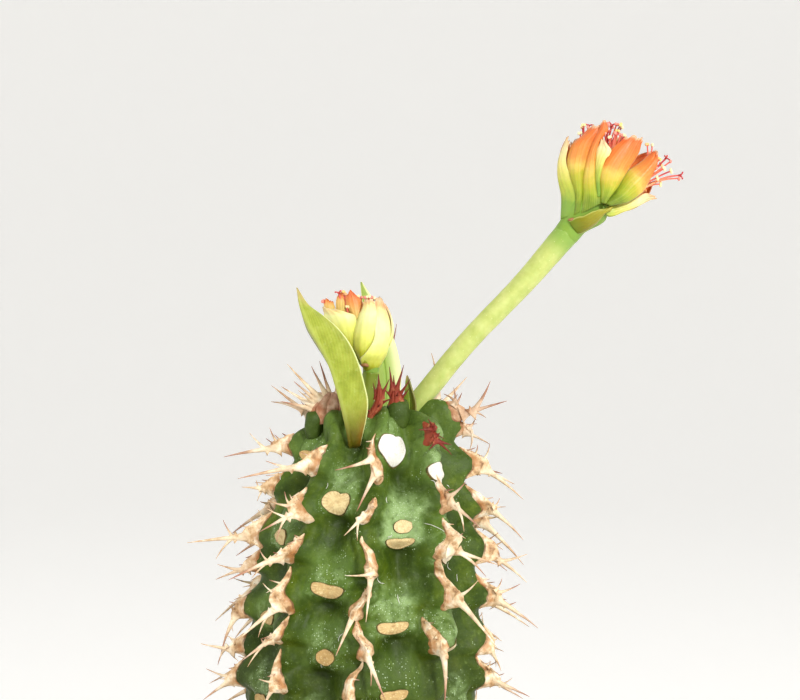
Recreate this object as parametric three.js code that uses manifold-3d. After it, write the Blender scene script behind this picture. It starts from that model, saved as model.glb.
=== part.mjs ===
// Potted spiny succulent: a ribbed stem with forked spines, three leaves and two flower heads,
// standing in soil in a round clay pot. Millimetres, +Z up. The origin is the middle of the
// pot's flat base, and the plant faces -Y.

import * as THREE from 'three';
import { mergeVertices } from 'three/addons/utils/BufferGeometryUtils.js';
import Module from 'manifold-3d';

const wasm = await Module();
wasm.setup();

const GAP = 0.3; // clearance between pieces that touch

// Pot and soil
const POT_HEIGHT = 90;
const POT_RADIUS = 60; // outside of the rim
const RIM_HEIGHT = 18;
const RIM_STEP = 3.5; // how far the rim stands out over the wall below it
const POT_BASE_RADIUS = 41;
const POT_WALL = 5;
const POT_FLOOR = 7;
const DRAIN_RADIUS = 6;
const POT_SIDES = 36;
const SOIL_LEVEL = 80;
const SOIL_RELIEF = 0.9; // height of the grit
const SOIL_MOUND = 1.6; // rise of the soil towards the stem
const SOIL_SIDES = 28;
const SOIL_RINGS = 6;

// Stem
const APEX_HEIGHT = 180;
const STEM_ABOVE_SOIL = APEX_HEIGHT - SOIL_LEVEL;
const LEAN = 5.4; // sideways offset of the top towards +X
const LEAN_POWER = 1.8;
const RIBS = 9;
const FRONT_TURN = -1.8; // turn of the front rib from -Y, in degrees
const VALLEY_DEPTH = 4.5;
const SCAR_PITCH = 13.6; // height between two leaf scars of one column
const SCAR_SWELL = 2.3; // how far the flesh above a scar bulges
const RIB_SCALLOP = 1.3;
const RIB_COLUMNS = [-0.27, -0.09, 0, 0.09, 0.27, 0.5]; // places of the skin's points, in ribs
const ROWS_PER_PITCH = 5;

// Outline of the rib crests, from the middle of the crown down: radius, depth below the apex
const OUTLINE = [
  [0, 2.4],
  [4, 1.5],
  [7.6, 0.6],
  [10.4, 1.2],
  [12.4, 4],
  [14.8, 9.7],
  [17, 16.5],
  [18.4, 23.8],
  [19.6, 34],
  [20.2, 48],
  [20.2, 62],
  [19.9, 76],
  [19.2, 90],
  [18.6, 100],
  [18, 108],
];

// Heights of the leaf scars in the nine columns between the ribs, counted to +X from the one
// right of the front rib. Each list goes on downwards at SCAR_PITCH.
const SCAR_HEIGHTS = [
  [171.2, 157.4, 141.8, 130.2],
  [168.1, 153.7, 139.2],
  [176.7, 163.2],
  [171.6],
  [167.3],
  [174.2],
  [165.1],
  [169.9],
  [176.4, 162.7, 148, 136.3],
];
const LOWEST_SCAR = 93;
const LOWEST_SECOND_SPINE = 108; // the older combs below have lost theirs
const LOWEST_THIRD_SPINE = 138;
const HIGHEST_RULED_COMB = 172.5; // the combs above it are the crown's, placed one by one
const HIGHEST_RULED_FRONT_COMB = 129; // so are all those above it on the ribs in front
const OUTERMOST_FRONT_RIB = 2;

// Shields and spines
const SHIELD_LENGTH = 6.5;
const SHIELD_RISE = 1;
const SPINE_LENGTH = 9.6;
const SPINE_SPREAD = 3.4; // how much longer the longest main spine is
const SPINE_RADIUS = 1.15;
const SPINE_SUNK = 0.9; // how deep a spine's root lies in the shield

const smooth = (t) => {
  const x = Math.min(1, Math.max(0, t));
  return x * x * (3 - 2 * x);
};

// Repeatable draw between 0 and 1
function draw(seed) {
  const wave = Math.sin(seed * 12.9898 + 4.1414) * 43758.5453;
  return wave - Math.floor(wave);
}

const radians = THREE.MathUtils.degToRad;
const vector = (x, y, z) => new THREE.Vector3(x, y, z);

// Meshes and solids

function geometryOf(points, index) {
  const geometry = new THREE.BufferGeometry();
  const numbers = points.flatMap((point) => point.toArray());
  geometry.setAttribute('position', new THREE.Float32BufferAttribute(numbers, 3));
  geometry.setIndex(index);
  return geometry;
}

function solidOf(geometry) {
  const bare = geometry.clone();
  bare.deleteAttribute('normal');
  bare.deleteAttribute('uv');
  const merged = mergeVertices(bare, 1e-4);
  return new wasm.Manifold(new wasm.Mesh({
    numProp: 3,
    vertProperties: merged.attributes.position.array,
    triVerts: Uint32Array.from(merged.index.array),
  }));
}

// Largest shell of a fused solid: hollows that the fusing sealed are filled, scraps dropped
function geometryFrom(solid) {
  const { vertProperties, triVerts } = solid.getMesh();
  const parent = Uint32Array.from({ length: vertProperties.length / 3 }, (_, k) => k);
  const shellOf = (point) => {
    let top = point;
    while (parent[top] !== top) top = parent[top];
    parent[point] = top;
    return top;
  };
  for (let t = 0; t < triVerts.length; t += 3) {
    parent[shellOf(triVerts[t + 1])] = shellOf(triVerts[t]);
    parent[shellOf(triVerts[t + 2])] = shellOf(triVerts[t]);
  }
  const corners = new Map();
  for (const corner of triVerts) {
    const shell = shellOf(corner);
    if (!corners.has(shell)) corners.set(shell, []);
    corners.get(shell).push(corner);
  }
  const largest = [...corners.values()].reduce((a, b) => (b.length > a.length ? b : a));
  const numbers = largest.flatMap((k) => [...vertProperties.slice(3 * k, 3 * k + 3)]);
  const geometry = new THREE.BufferGeometry();
  geometry.setAttribute('position', new THREE.Float32BufferAttribute(numbers, 3));
  return mergeVertices(geometry, 1e-5);
}

function fuse(solids) {
  return solids.reduce((joined, solid) => joined.add(solid));
}

// Closed skin through rings with equal numbers of points, each end drawn to one point. The
// rings turn counterclockwise seen from the last point.
function loft(first, rings, last) {
  const count = rings[0].length;
  const end = rings.length * count + 1;
  const index = [];
  for (let k = 0; k < count; k++) {
    const next = (k + 1) % count;
    index.push(0, 1 + next, 1 + k);
    for (let row = 0; row + 1 < rings.length; row++) {
      const a = 1 + row * count + k;
      const b = 1 + row * count + next;
      index.push(a, b, b + count, a, b + count, a + count);
    }
    index.push(end, end - count + k, end - count + next);
  }
  return geometryOf([first, ...rings.flat(), last], index);
}

// Ring of points square to a direction
function ringAt(centre, direction, radius, sides, start = vector(0, 0, 1)) {
  const axis = direction.clone().normalize();
  const across = vector(0, 0, 0).crossVectors(start, axis);
  if (across.lengthSq() < 1e-3) across.crossVectors(vector(1, 0, 0), axis);
  across.normalize();
  const other = vector(0, 0, 0).crossVectors(axis, across);
  return Array.from({ length: sides }, (_, k) => {
    const angle = (2 * Math.PI * k) / sides;
    return centre.clone()
      .addScaledVector(across, radius * Math.cos(angle))
      .addScaledVector(other, radius * Math.sin(angle));
  });
}

// Round stalk along a curve, with a radius for each place on it
function stalk(curve, radiusAt, steps, sides) {
  const rings = [];
  for (let step = 0; step <= steps; step++) {
    const t = step / steps;
    rings.push(ringAt(curve.getPoint(t), curve.getTangent(t), radiusAt(t), sides));
  }
  return loft(curve.getPoint(0), rings, curve.getPoint(1));
}

// Egg-shaped solid
function ball({ centre, radii }) {
  const sphere = new THREE.SphereGeometry(1, 8, 5);
  return solidOf(sphere.rotateX(Math.PI / 2).scale(...radii).translate(...centre));
}

// Thin closed blade of even thickness over a surface, given by s from 0 to 1 along it and
// v from -1 to 1 across it
function blade(surfaceAt, steps, across, thickness) {
  const small = 1e-3;
  const front = [];
  const back = [];
  for (let i = 0; i <= steps; i++) {
    for (let j = 0; j <= across; j++) {
      const s = i / steps;
      const v = (2 * j) / across - 1;
      const here = surfaceAt(s, v);
      const along = surfaceAt(s + small, v).sub(surfaceAt(s - small, v));
      const aside = surfaceAt(s, v + small).sub(surfaceAt(s, v - small));
      const normal = along.cross(aside).normalize().multiplyScalar(thickness / 2);
      front.push(here.clone().add(normal));
      back.push(here.clone().sub(normal));
    }
  }
  const row = across + 1;
  const far = front.length;
  const index = [];
  for (let i = 0; i < steps; i++) {
    for (let j = 0; j < across; j++) {
      const a = i * row + j;
      index.push(a, a + row, a + row + 1, a, a + row + 1, a + 1);
      index.push(far + a, far + a + row + 1, far + a + row, far + a, far + a + 1, far + a + row + 1);
    }
  }
  const edge = (a, b) => index.push(a, b, far + b, a, far + b, far + a);
  for (let i = 0; i < steps; i++) {
    edge((i + 1) * row, i * row);
    edge(i * row + across, (i + 1) * row + across);
  }
  for (let j = 0; j < across; j++) {
    edge(j, j + 1);
    edge(steps * row + j + 1, steps * row + j);
  }
  return geometryOf([...front, ...back], index);
}

// Stem

// Running length of the outline at each of its points
const OUTLINE_KNOTS = OUTLINE.reduce((knots, [radius, depth], i) => {
  if (i === 0) return [0];
  const [lastRadius, lastDepth] = OUTLINE[i - 1];
  return [...knots, knots[i - 1] + Math.hypot(radius - lastRadius, depth - lastDepth)];
}, []);
const OUTLINE_END = OUTLINE_KNOTS.at(-1);

// Radius and depth at a running length along the outline
function outlineAt(run) {
  const s = Math.min(OUTLINE_END, Math.max(0, run));
  const last = OUTLINE.length - 1;
  let i = 0;
  while (i < last - 1 && OUTLINE_KNOTS[i + 1] < s) i++;
  const slope = (k, axis) => {
    const before = Math.max(0, k - 1);
    const after = Math.min(last, k + 1);
    return (OUTLINE[after][axis] - OUTLINE[before][axis]) / (OUTLINE_KNOTS[after] - OUTLINE_KNOTS[before]);
  };
  const span = OUTLINE_KNOTS[i + 1] - OUTLINE_KNOTS[i];
  const t = (s - OUTLINE_KNOTS[i]) / span;
  return [0, 1].map((axis) => (
    (2 * t ** 3 - 3 * t ** 2 + 1) * OUTLINE[i][axis]
    + (t ** 3 - 2 * t ** 2 + t) * span * slope(i, axis)
    + (3 * t ** 2 - 2 * t ** 3) * OUTLINE[i + 1][axis]
    + (t ** 3 - t ** 2) * span * slope(i + 1, axis)
  ));
}

// Running length at a depth below the apex, on the side of the stem
function runAtDepth(depth) {
  let low = OUTLINE_KNOTS[3];
  let high = OUTLINE_END;
  for (let step = 0; step < 40; step++) {
    const middle = (low + high) / 2;
    if (outlineAt(middle)[1] < depth) low = middle;
    else high = middle;
  }
  return low;
}

const SCARS = SCAR_HEIGHTS.flatMap((heights, column) => {
  const all = [...heights];
  while (all.at(-1) - SCAR_PITCH > LOWEST_SCAR) all.push(all.at(-1) - SCAR_PITCH);
  return all.map((height, order) => ({ column, height, order, around: column + 0.5 }));
});

// Shortest way round from one place to another, in ribs
function aroundFrom(from, to) {
  const turn = (to - from) / RIBS;
  return (turn - Math.round(turn)) * RIBS;
}

// Saw-shaped swelling: a long slope above, highest at the lip, sharply cut in below it
function swelling(above, slope, undercut) {
  return above > 0 ? smooth(1 - above / slope) : smooth(1 + above / undercut);
}

// Corky shield on a rib's crest, from its scar's height down: narrow above, wide at its foot
function shieldRise(above, aside) {
  const share = -above / SHIELD_LENGTH;
  const along = smooth((share + 0.12) / 0.3) * smooth((1.12 - share) / 0.16);
  const half = 0.07 + 0.09 * Math.min(1, Math.max(0, share));
  return along * Math.max(0, 1 - (aside / half) ** 2);
}

// Relief of the skin out from the crest outline: ribs, swellings above the scars, scallops and
// shields. It fades out in the crown's middle and towards the soil.
function relief(around, run) {
  const [radius, depth] = outlineAt(run);
  const height = APEX_HEIGHT - depth;
  const strength = Math.min(1, radius / 13) * (1 - smooth((depth - 82) / 16));
  let shift = 0;
  let bulge = 0;
  let scallop = 0;
  let cork = 0;
  for (const scar of SCARS) {
    const aside = aroundFrom(scar.around, around);
    const above = height - scar.height;
    if (Math.abs(aside) > 1 || Math.abs(above) > SCAR_PITCH) continue;
    const lip = swelling(above, 0.6 * SCAR_PITCH, 0.17 * SCAR_PITCH);
    const reach = Math.max(0, 1 - Math.abs(aside));
    shift += 0.09 * Math.sign(aside) * lip * (1 - reach) * reach * 4;
    if (Math.abs(aside) < 0.46) bulge = Math.max(bulge, lip * Math.cos((Math.PI * aside) / 0.92) ** 2);
    const foot = swelling(above + 0.45 * SCAR_PITCH, 0.36 * SCAR_PITCH, 0.13 * SCAR_PITCH);
    const nearRib = Math.abs(Math.abs(aside) - 0.5);
    if (nearRib < 0.34) scallop = Math.max(scallop, foot * (1 - (nearRib / 0.34) ** 2) ** 2);
    if (nearRib < 0.16) cork = Math.max(cork, shieldRise(above, nearRib));
  }
  const fromCrest = Math.abs(around - shift - Math.round(around - shift)) * 2;
  const valley = ((1 - Math.cos(Math.PI * fromCrest)) / 2) ** 1.15;
  const flesh = SCAR_SWELL * bulge + RIB_SCALLOP * (scallop - 0.5) - VALLEY_DEPTH * valley;
  return strength * (flesh + SHIELD_RISE * cork);
}

// Direction of a place round the stem, in degrees from +X
const placeAngle = (around) => -90 + FRONT_TURN + (360 * around) / RIBS;

const axisX = (height) => LEAN * Math.max(0, (height - SOIL_LEVEL) / STEM_ABOVE_SOIL) ** LEAN_POWER;

// Point of the stem's skin, raised by a lift, at a place around it in ribs from the front
function stemPoint(around, run, lift = 0) {
  const [radius, depth] = outlineAt(run);
  const [radiusAfter, depthAfter] = outlineAt(run + 0.05);
  const [radiusBefore, depthBefore] = outlineAt(run - 0.05);
  const out = new THREE.Vector2(depthAfter - depthBefore, radiusBefore - radiusAfter).normalize();
  const rise = relief(around, run) + lift;
  const reach = Math.max(0, radius + rise * out.x);
  const height = APEX_HEIGHT - depth - rise * out.y;
  const angle = radians(placeAngle(around));
  return vector(axisX(height) + reach * Math.cos(angle), reach * Math.sin(angle), height);
}

// Places of the skin's points round the stem, in ribs
const PLACES = Array.from({ length: RIBS }, (_, rib) => RIB_COLUMNS.map((place) => rib + place)).flat();

// Closed skin of the stem. A grown one, raised all over by a lift, cuts what stands on it.
function stemSkin(lift = 0) {
  const runs = [OUTLINE_END];
  const rowStep = SCAR_PITCH / ROWS_PER_PITCH;
  for (let run = runAtDepth(STEM_ABOVE_SOIL); run > 3; run -= rowStep) runs.push(run);
  const rings = runs.map((run) => PLACES.map((place) => stemPoint(place, run, lift)));
  const bottomHeight = rings[0][0].z - lift;
  rings[0].forEach((point) => point.setZ(bottomHeight));
  const bottom = vector(0, 0, bottomHeight);
  return solidOf(loft(bottom, rings, stemPoint(0, 0, lift)));
}

// One spine with three sides, from inside the stem to its tip
function spine(from, to, radius) {
  const aim = to.clone().sub(from);
  const [a, b, c] = ringAt(from, aim, radius, 3);
  return solidOf(geometryOf([a, b, c, to], [0, 2, 1, 0, 1, 3, 1, 2, 3, 2, 0, 3]));
}

// Direction out from the crest, turned sideways and up
function spineAim(around, aside, up) {
  const angle = radians(placeAngle(around) + aside);
  const flat = Math.cos(radians(up));
  return vector(flat * Math.cos(angle), flat * Math.sin(angle), Math.sin(radians(up)));
}

// Spines of one ruled comb: share of the shield, turn to the side, rise, length, radius
function combSpines(id, side, height) {
  const young = smooth((height - 158) / 14);
  const old = smooth((112 - height) / 14);
  const size = 1 - 0.15 * young - 0.2 * old;
  const spines = [];
  const add = (share, aside, up, length, radius) => {
    spines.push({ share, aside, up: up + 14 * young, length: length * size, radius });
  };
  add(0.84, -side * (4 + 24 * draw(id)), -18 - 30 * draw(id + 1),
    SPINE_LENGTH + SPINE_SPREAD * draw(id + 2), SPINE_RADIUS);
  if (height > LOWEST_SECOND_SPINE) {
    add(0.5, -side * (30 + 30 * draw(id + 3)), -22 + 34 * draw(id + 4), 4.6 + 2.2 * draw(id + 5), 0.62);
  }
  if (height > LOWEST_THIRD_SPINE) {
    add(0.74, side * (16 + 34 * draw(id + 6)), -44 + 30 * draw(id + 7), 3.8 + 2.4 * draw(id + 8), 0.56);
  }
  return spines;
}

// The rib beside a column, counted from the front one to either side
function ribBeside(column, side) {
  const rib = column + (side + 1) / 2;
  return rib > RIBS / 2 ? rib - RIBS : rib;
}

function ruledCombs() {
  const combs = [];
  for (const { column, height, order, around } of SCARS) {
    for (const side of [-1, 1]) {
      const inFront = Math.abs(ribBeside(column, side)) <= OUTERMOST_FRONT_RIB;
      if (height > (inFront ? HIGHEST_RULED_FRONT_COMB : HIGHEST_RULED_COMB)) continue;
      const id = 100 * column + 10 * order + side;
      const place = around + side * 0.47;
      const topRun = runAtDepth(APEX_HEIGHT - height);
      for (const { share, aside, up, length, radius } of combSpines(id, side, height)) {
        const root = stemPoint(place, topRun + share * SHIELD_LENGTH);
        const aim = spineAim(place, aside, up);
        const tip = root.clone().addScaledVector(aim, length);
        tip.z = Math.max(tip.z, SOIL_LEVEL + 3);
        combs.push(spine(root.addScaledVector(aim, -SPINE_SUNK), tip, radius));
      }
    }
  }
  return combs;
}

// Combs of the five ribs in front: rib, heights of the shield's top and foot, and the tips from
// the highest to the lowest
const FRONT_COMBS = [
  { rib: 0, top: 174.9, foot: 168.1, tips: [[-2.3, -19.2, 170.1], [1.2, -20.6, 163.6]] },
  {
    rib: 0,
    top: 165.1,
    foot: 161.4,
    tips: [
      [4, -21.1, 164.5],
      [-0.8, -22.5, 159.9],
      [1.3, -21.1, 158.9],
    ],
  },
  { rib: 0, top: 158.9, foot: 152.7, tips: [[-0.7, -22.5, 153.5], [2.7, -23.9, 146.2]] },
  { rib: 0, top: 151.4, foot: 146.1, tips: [[-2.1, -24.6, 140.9]] },
  {
    rib: 0,
    top: 145.5,
    foot: 139.6,
    tips: [
      [1.3, -23.6, 143.9],
      [3.5, -23.6, 135.8],
      [5.8, -25, 133.9],
    ],
  },
  { rib: 0, top: 138.7, foot: 132.5, tips: [[3.4, -23.8, 128.3], [0.3, -25.2, 127.8]] },
  {
    rib: 1,
    top: 176.7,
    foot: 172.9,
    tips: [
      [12.7, -12.9, 177.7],
      [14.2, -12.9, 176.2],
      [16.7, -13.1, 173.5],
      [17.3, -13.5, 171.5],
    ],
  },
  {
    rib: 1,
    top: 170,
    foot: 163.2,
    tips: [
      [18.9, -16.3, 167.9],
      [21.1, -17.8, 160.5],
      [18.6, -16.1, 159.6],
    ],
  },
  { rib: 1, top: 161.3, foot: 155.4, tips: [[23.9, -20.6, 154.9], [22.1, -19.4, 152.8]] },
  { rib: 1, top: 155.3, foot: 147.3, tips: [[20.8, -19.3, 152.2], [23.8, -21.3, 141.6]] },
  { rib: 1, top: 145.4, foot: 140.1, tips: [[14.8, -17.7, 142.3], [15.4, -17.7, 131.6]] },
  {
    rib: 2,
    top: 179.5,
    foot: 176.2,
    tips: [
      [23.4, -3, 183.4],
      [17.2, -2.5, 182.3],
      [18.6, -2.6, 181.4],
      [15.5, -2.4, 181.2],
      [26.3, -3.2, 180.1],
      [22.7, -2.9, 177.2],
    ],
  },
  {
    rib: 2,
    top: 175.9,
    foot: 174.1,
    tips: [
      [20.9, -2.9, 177.1],
      [23.4, -3.1, 172.7],
      [19.9, -2.9, 171.7],
    ],
  },
  {
    rib: 2,
    top: 172.1,
    foot: 167.5,
    tips: [
      [23.3, -3.5, 172.8],
      [21.3, -3.3, 172.7],
      [27.5, -3.8, 166],
      [29, -3.9, 163.4],
    ],
  },
  { rib: 2, top: 165.9, foot: 160.5, tips: [[25, -3.9, 163.7], [29, -4.2, 156.6]] },
  {
    rib: 2,
    top: 158.2,
    foot: 153,
    tips: [
      [25.5, -4.2, 156.4],
      [29.7, -4.5, 154.3],
      [29.6, -4.4, 149.4],
    ],
  },
  {
    rib: 2,
    top: 150.8,
    foot: 145.3,
    tips: [
      [25.4, -4.3, 150.1],
      [28.5, -4.5, 149.2],
      [27.8, -4.5, 146.1],
      [31.5, -4.7, 141.7],
    ],
  },
  {
    rib: 2,
    top: 141.8,
    foot: 137.5,
    tips: [
      [24.6, -4.3, 139.8],
      [24.4, -4.3, 135],
      [25.3, -4.4, 134.3],
    ],
  },
  {
    rib: 2,
    top: 137,
    foot: 131.4,
    tips: [
      [23.4, -4.3, 136.1],
      [27.2, -4.6, 133.2],
      [30.1, -4.8, 130],
    ],
  },
  { rib: -1, top: 173.1, foot: 168.6, tips: [[-13.8, -15.3, 171.2], [-18.2, -17.5, 168.5]] },
  {
    rib: -1,
    top: 166.2,
    foot: 161.2,
    tips: [
      [-10.7, -15.1, 166.1],
      [-13.5, -15.8, 164.7],
      [-13.7, -15.9, 163.5],
      [-14.7, -16.3, 159.7],
      [-12.1, -15.1, 157.8],
    ],
  },
  {
    rib: -1,
    top: 158.9,
    foot: 154.4,
    tips: [
      [-7.8, -15.9, 158.4],
      [-14.7, -16.6, 156.7],
      [-19.6, -18.9, 152.2],
      [-16, -17.2, 152.2],
    ],
  },
  {
    rib: -1,
    top: 153.2,
    foot: 146.5,
    tips: [
      [-14.2, -16.6, 151.3],
      [-15, -16.8, 142.4],
      [-18.5, -18.5, 142],
    ],
  },
  {
    rib: -1,
    top: 145.5,
    foot: 141.1,
    tips: [
      [-14.5, -16.8, 142.2],
      [-17.6, -18, 138.8],
      [-16.7, -17.6, 137.7],
    ],
  },
  {
    rib: -1,
    top: 139.6,
    foot: 133.4,
    tips: [
      [-12.2, -17, 136.4],
      [-14.9, -17, 135.6],
      [-14.4, -17, 130.2],
    ],
  },
  {
    rib: -2,
    top: 173.7,
    foot: 170.8,
    tips: [
      [-13.9, -2.3, 175.5],
      [-17.3, -2.5, 174.6],
      [-21.7, -2.7, 170.5],
    ],
  },
  {
    rib: -2,
    top: 167.7,
    foot: 163.7,
    tips: [
      [-16.2, -2.6, 166.6],
      [-18.7, -2.7, 165.4],
      [-16, -2.6, 163],
    ],
  },
  {
    rib: -2,
    top: 161,
    foot: 155.5,
    tips: [
      [-15.9, -2.7, 161.6],
      [-21.8, -3, 159.9],
      [-27.9, -3.3, 156],
      [-23.1, -3, 153.1],
    ],
  },
  { rib: -2, top: 154.8, foot: 151.1, tips: [[-22.8, -3.1, 152.3], [-23.1, -3.1, 149.7]] },
  {
    rib: -2,
    top: 147.5,
    foot: 143.3,
    tips: [
      [-16.6, -2.8, 147.9],
      [-20.9, -3, 145.3],
      [-20.2, -3, 140.8],
      [-22.3, -3.1, 136.9],
    ],
  },
  {
    rib: -2,
    top: 140.9,
    foot: 136.9,
    tips: [
      [-20.8, -3, 140],
      [-25.7, -3.3, 138.8],
      [-19.3, -2.9, 135.7],
      [-22.8, -3.1, 135],
    ],
  },
  {
    rib: -2,
    top: 135.9,
    foot: 131.4,
    tips: [
      [-20, -3, 135.3],
      [-24.8, -3.2, 134.5],
      [-25.3, -3.2, 129.1],
    ],
  },
];
const LOWEST_ROOT = 0.85; // share of the shield's length at which its lowest spine stands
const ROOT_STEP = 0.12; // share from one spine to the next

function frontCombs() {
  return FRONT_COMBS.flatMap(({ rib, top, foot, tips }) => {
    const topRun = runAtDepth(APEX_HEIGHT - top);
    const footRun = runAtDepth(APEX_HEIGHT - foot);
    return tips.map((tip, k) => {
      const share = LOWEST_ROOT - ROOT_STEP * (tips.length - 1 - k);
      const root = stemPoint(rib, topRun + share * (footRun - topRun));
      const end = vector(...tip);
      const length = end.distanceTo(root);
      const aim = end.clone().sub(root).normalize();
      const radius = Math.min(SPINE_RADIUS, 0.35 + 0.08 * length);
      return spine(root.addScaledVector(aim, -SPINE_SUNK), end, radius);
    });
  });
}

// Combs of the crown: place around in ribs, run of the comb's top and foot, and the tips
const CROWN_COMBS = [
  { around: -1.47, top: 7.5, foot: 12, tips: [[-11.3, -6, 186.2], [-8.4, -5, 185.9], [-9.9, -7.6, 183]] },
  { around: -2.1, top: 8.5, foot: 14, tips: [[-13.6, -2, 182.6], [-13.9, 1.5, 179.6], [-4.9, -1, 184.6]] },
  { around: 0.16, top: 5.5, foot: 9, tips: [[4.4, -7.8, 185], [6.2, -9.6, 183.2]] },
  { around: 3.2, top: 8.5, foot: 13.5, tips: [[13.6, 8.5, 187.6], [20, 14, 183]] },
  { around: 4.6, top: 7, foot: 11, tips: [[7.6, 10.5, 192.6], [4, 19, 184]] },
  { around: -3.2, top: 8, foot: 13, tips: [[-6, 12, 186], [-9, 13.5, 180]] },
];

function crownCombs() {
  return CROWN_COMBS.flatMap(({ around, top, foot, tips }) => tips.map((tip, k) => {
    const root = stemPoint(around, top + (foot - top) * (0.3 + 0.3 * k), -SPINE_SUNK);
    return spine(root, vector(...tip), 1 - 0.12 * k);
  }));
}

// Young swellings on the crown, the first with a young comb on top
const KNOBS = [
  {
    centre: [7.9, -7, 177.4],
    radii: [2.1, 2, 3.2],
    tips: [[6.3, -8.6, 185.5], [8.3, -8, 186.2], [9.7, -9, 182.6]],
  },
  {
    centre: [-5.9, -3, 175.8],
    radii: [2, 2, 2.4],
    tips: [],
  },
];

function crownKnobs() {
  return KNOBS.flatMap(({ centre, radii, tips }) => {
    const top = vector(centre[0], centre[1], centre[2] + radii[2] - 1);
    return [ball({ centre, radii }), ...tips.map((tip) => spine(top, vector(...tip), 0.7))];
  });
}

function makeStem() {
  return fuse([stemSkin(), ...ruledCombs(), ...frontCombs(), ...crownCombs(), ...crownKnobs()]);
}

// Leaves

// Folded leaf along a curve: two halves that open from a keel
function foldedLeaf({ path, keel, opening, width, tipWidth = 0.5, thickness = 0.8 }) {
  const curve = new THREE.CatmullRomCurve3(path.map((point) => vector(...point)));
  const outward = vector(...keel).normalize();
  const surfaceAt = (s, v) => {
    const axis = curve.getTangent(Math.min(1, Math.max(0, s)));
    const spread = vector(0, 0, 0).crossVectors(axis, outward).normalize();
    const inward = vector(0, 0, 0).crossVectors(axis, spread).normalize();
    const half = tipWidth + (width / 2 - tipWidth) * Math.sin(Math.PI * (0.13 + 0.87 * s) ** 0.9);
    const fold = radians(opening / 2) * Math.tanh(4 * Math.abs(v)) / Math.tanh(4);
    const point = curve.getPoint(Math.min(1, Math.max(0, s)));
    point.addScaledVector(spread, half * v * Math.sin(fold));
    return point.addScaledVector(inward, half * Math.abs(v) * Math.cos(fold));
  };
  return blade(surfaceAt, 8, 4, thickness);
}

const LEAF_LARGE = {
  path: [[-0.2, -7.2, 174], [-2.9, -8.8, 183.4], [-6.7, -9.5, 191.2], [-9.4, -9.6, 198.7]],
  keel: [-0.7, -0.7, 0],
  opening: 110,
  width: 10.6,
};
const LEAF_BACK = {
  path: [[5.6, 5.4, 176.5], [5.6, 6.8, 184], [4, 7.7, 192], [1.4, 7.8, 199.9]],
  keel: [0.35, 0.94, 0],
  opening: 130,
  width: 7.8,
};
const LEAF_YOUNG = {
  path: [[9.9, -4.1, 176], [10.1, -4.1, 180], [9.4, -4.2, 184.4]],
  keel: [0.6, 0.8, 0],
  opening: 130,
  width: 3,
  thickness: 0.7,
};

// Flower heads

const BRACT_THICKNESS = 0.62;

// Share of a bract's full width along it: a wide foot, the full width past the middle, a
// blunt tip
function bractShare(s) {
  return s < 0.6 ? 0.46 + 0.54 * smooth(s / 0.6) : 1 - 0.62 * ((s - 0.6) / 0.4) ** 2.2;
}

// Cupped bract from its foot to its tip, its hollow turned away from the outward side
function bract({ from, to, out, width, arc = 120, belly = 1.2 }) {
  const along = to.clone().sub(from);
  const side = along.clone().cross(out).normalize();
  const outward = side.clone().cross(along).normalize();
  const sweep = radians(arc / 2);
  const surfaceAt = (s, v) => {
    const radius = (width * bractShare(s)) / 2 / Math.sin(sweep);
    const point = from.clone().addScaledVector(along, s);
    point.addScaledVector(side, radius * Math.sin(sweep * v));
    point.addScaledVector(outward, radius * (Math.cos(sweep * v) - Math.cos(sweep)) * 0.8);
    return point.addScaledVector(outward, belly * Math.sin(Math.PI * s));
  };
  return solidOf(blade(surfaceAt, 4, 4, BRACT_THICKNESS));
}

// Bract that stands on a cup, its foot sunk in the cup's own foot
function cupBract(base, aim, { to, out, ...form }) {
  const outward = vector(...out).normalize();
  const axis = vector(...aim).normalize();
  const from = vector(...base).addScaledVector(outward, 0.7).addScaledVector(axis, -0.9);
  return bract({ from, to: vector(...to), out: outward, ...form });
}

// Cup in the middle of a pair of bracts, on a short foot from the head's node
function cup({ node, base, aim, length = 6.5, radius = 1.9 }) {
  const axis = vector(...aim).normalize();
  const start = vector(...node);
  const middle = vector(...base);
  const point = (t) => middle.clone().addScaledVector(axis, t * length);
  const rings = [
    ringAt(start, middle.clone().sub(start), 1.5, 6),
    ringAt(middle, axis, 1.5, 6),
    ringAt(point(0.5), axis, radius, 6),
    ringAt(point(1), axis, radius * 0.8, 6),
  ];
  return solidOf(loft(start, rings, point(1)));
}

// Stamen or style: a thin stem with a knob
function stamen(from, to) {
  const aim = to.clone().sub(from);
  const rings = [
    ringAt(from, aim, 0.34, 3),
    ringAt(from.clone().addScaledVector(aim, 0.84), aim, 0.26, 3),
    ringAt(from.clone().addScaledVector(aim, 0.93), aim, 0.5, 3),
  ];
  return solidOf(loft(from, rings, to));
}

function stamensOf({ base, aim, length = 6.5, reach = 5, count = 5, seed = 1 }) {
  const axis = vector(...aim).normalize();
  const top = vector(...base).addScaledVector(axis, length - 0.8);
  const ring = ringAt(top, axis, 1, count);
  return ring.map((spot, k) => {
    const spread = spot.clone().sub(top);
    const from = top.clone().addScaledVector(spread, 0.7);
    const rise = reach * (0.7 + 0.3 * draw(seed + k)) + 0.8;
    const to = top.clone().addScaledVector(axis, rise).addScaledVector(spread, 1 + draw(seed + k + 7));
    return stamen(from, to);
  });
}

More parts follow.
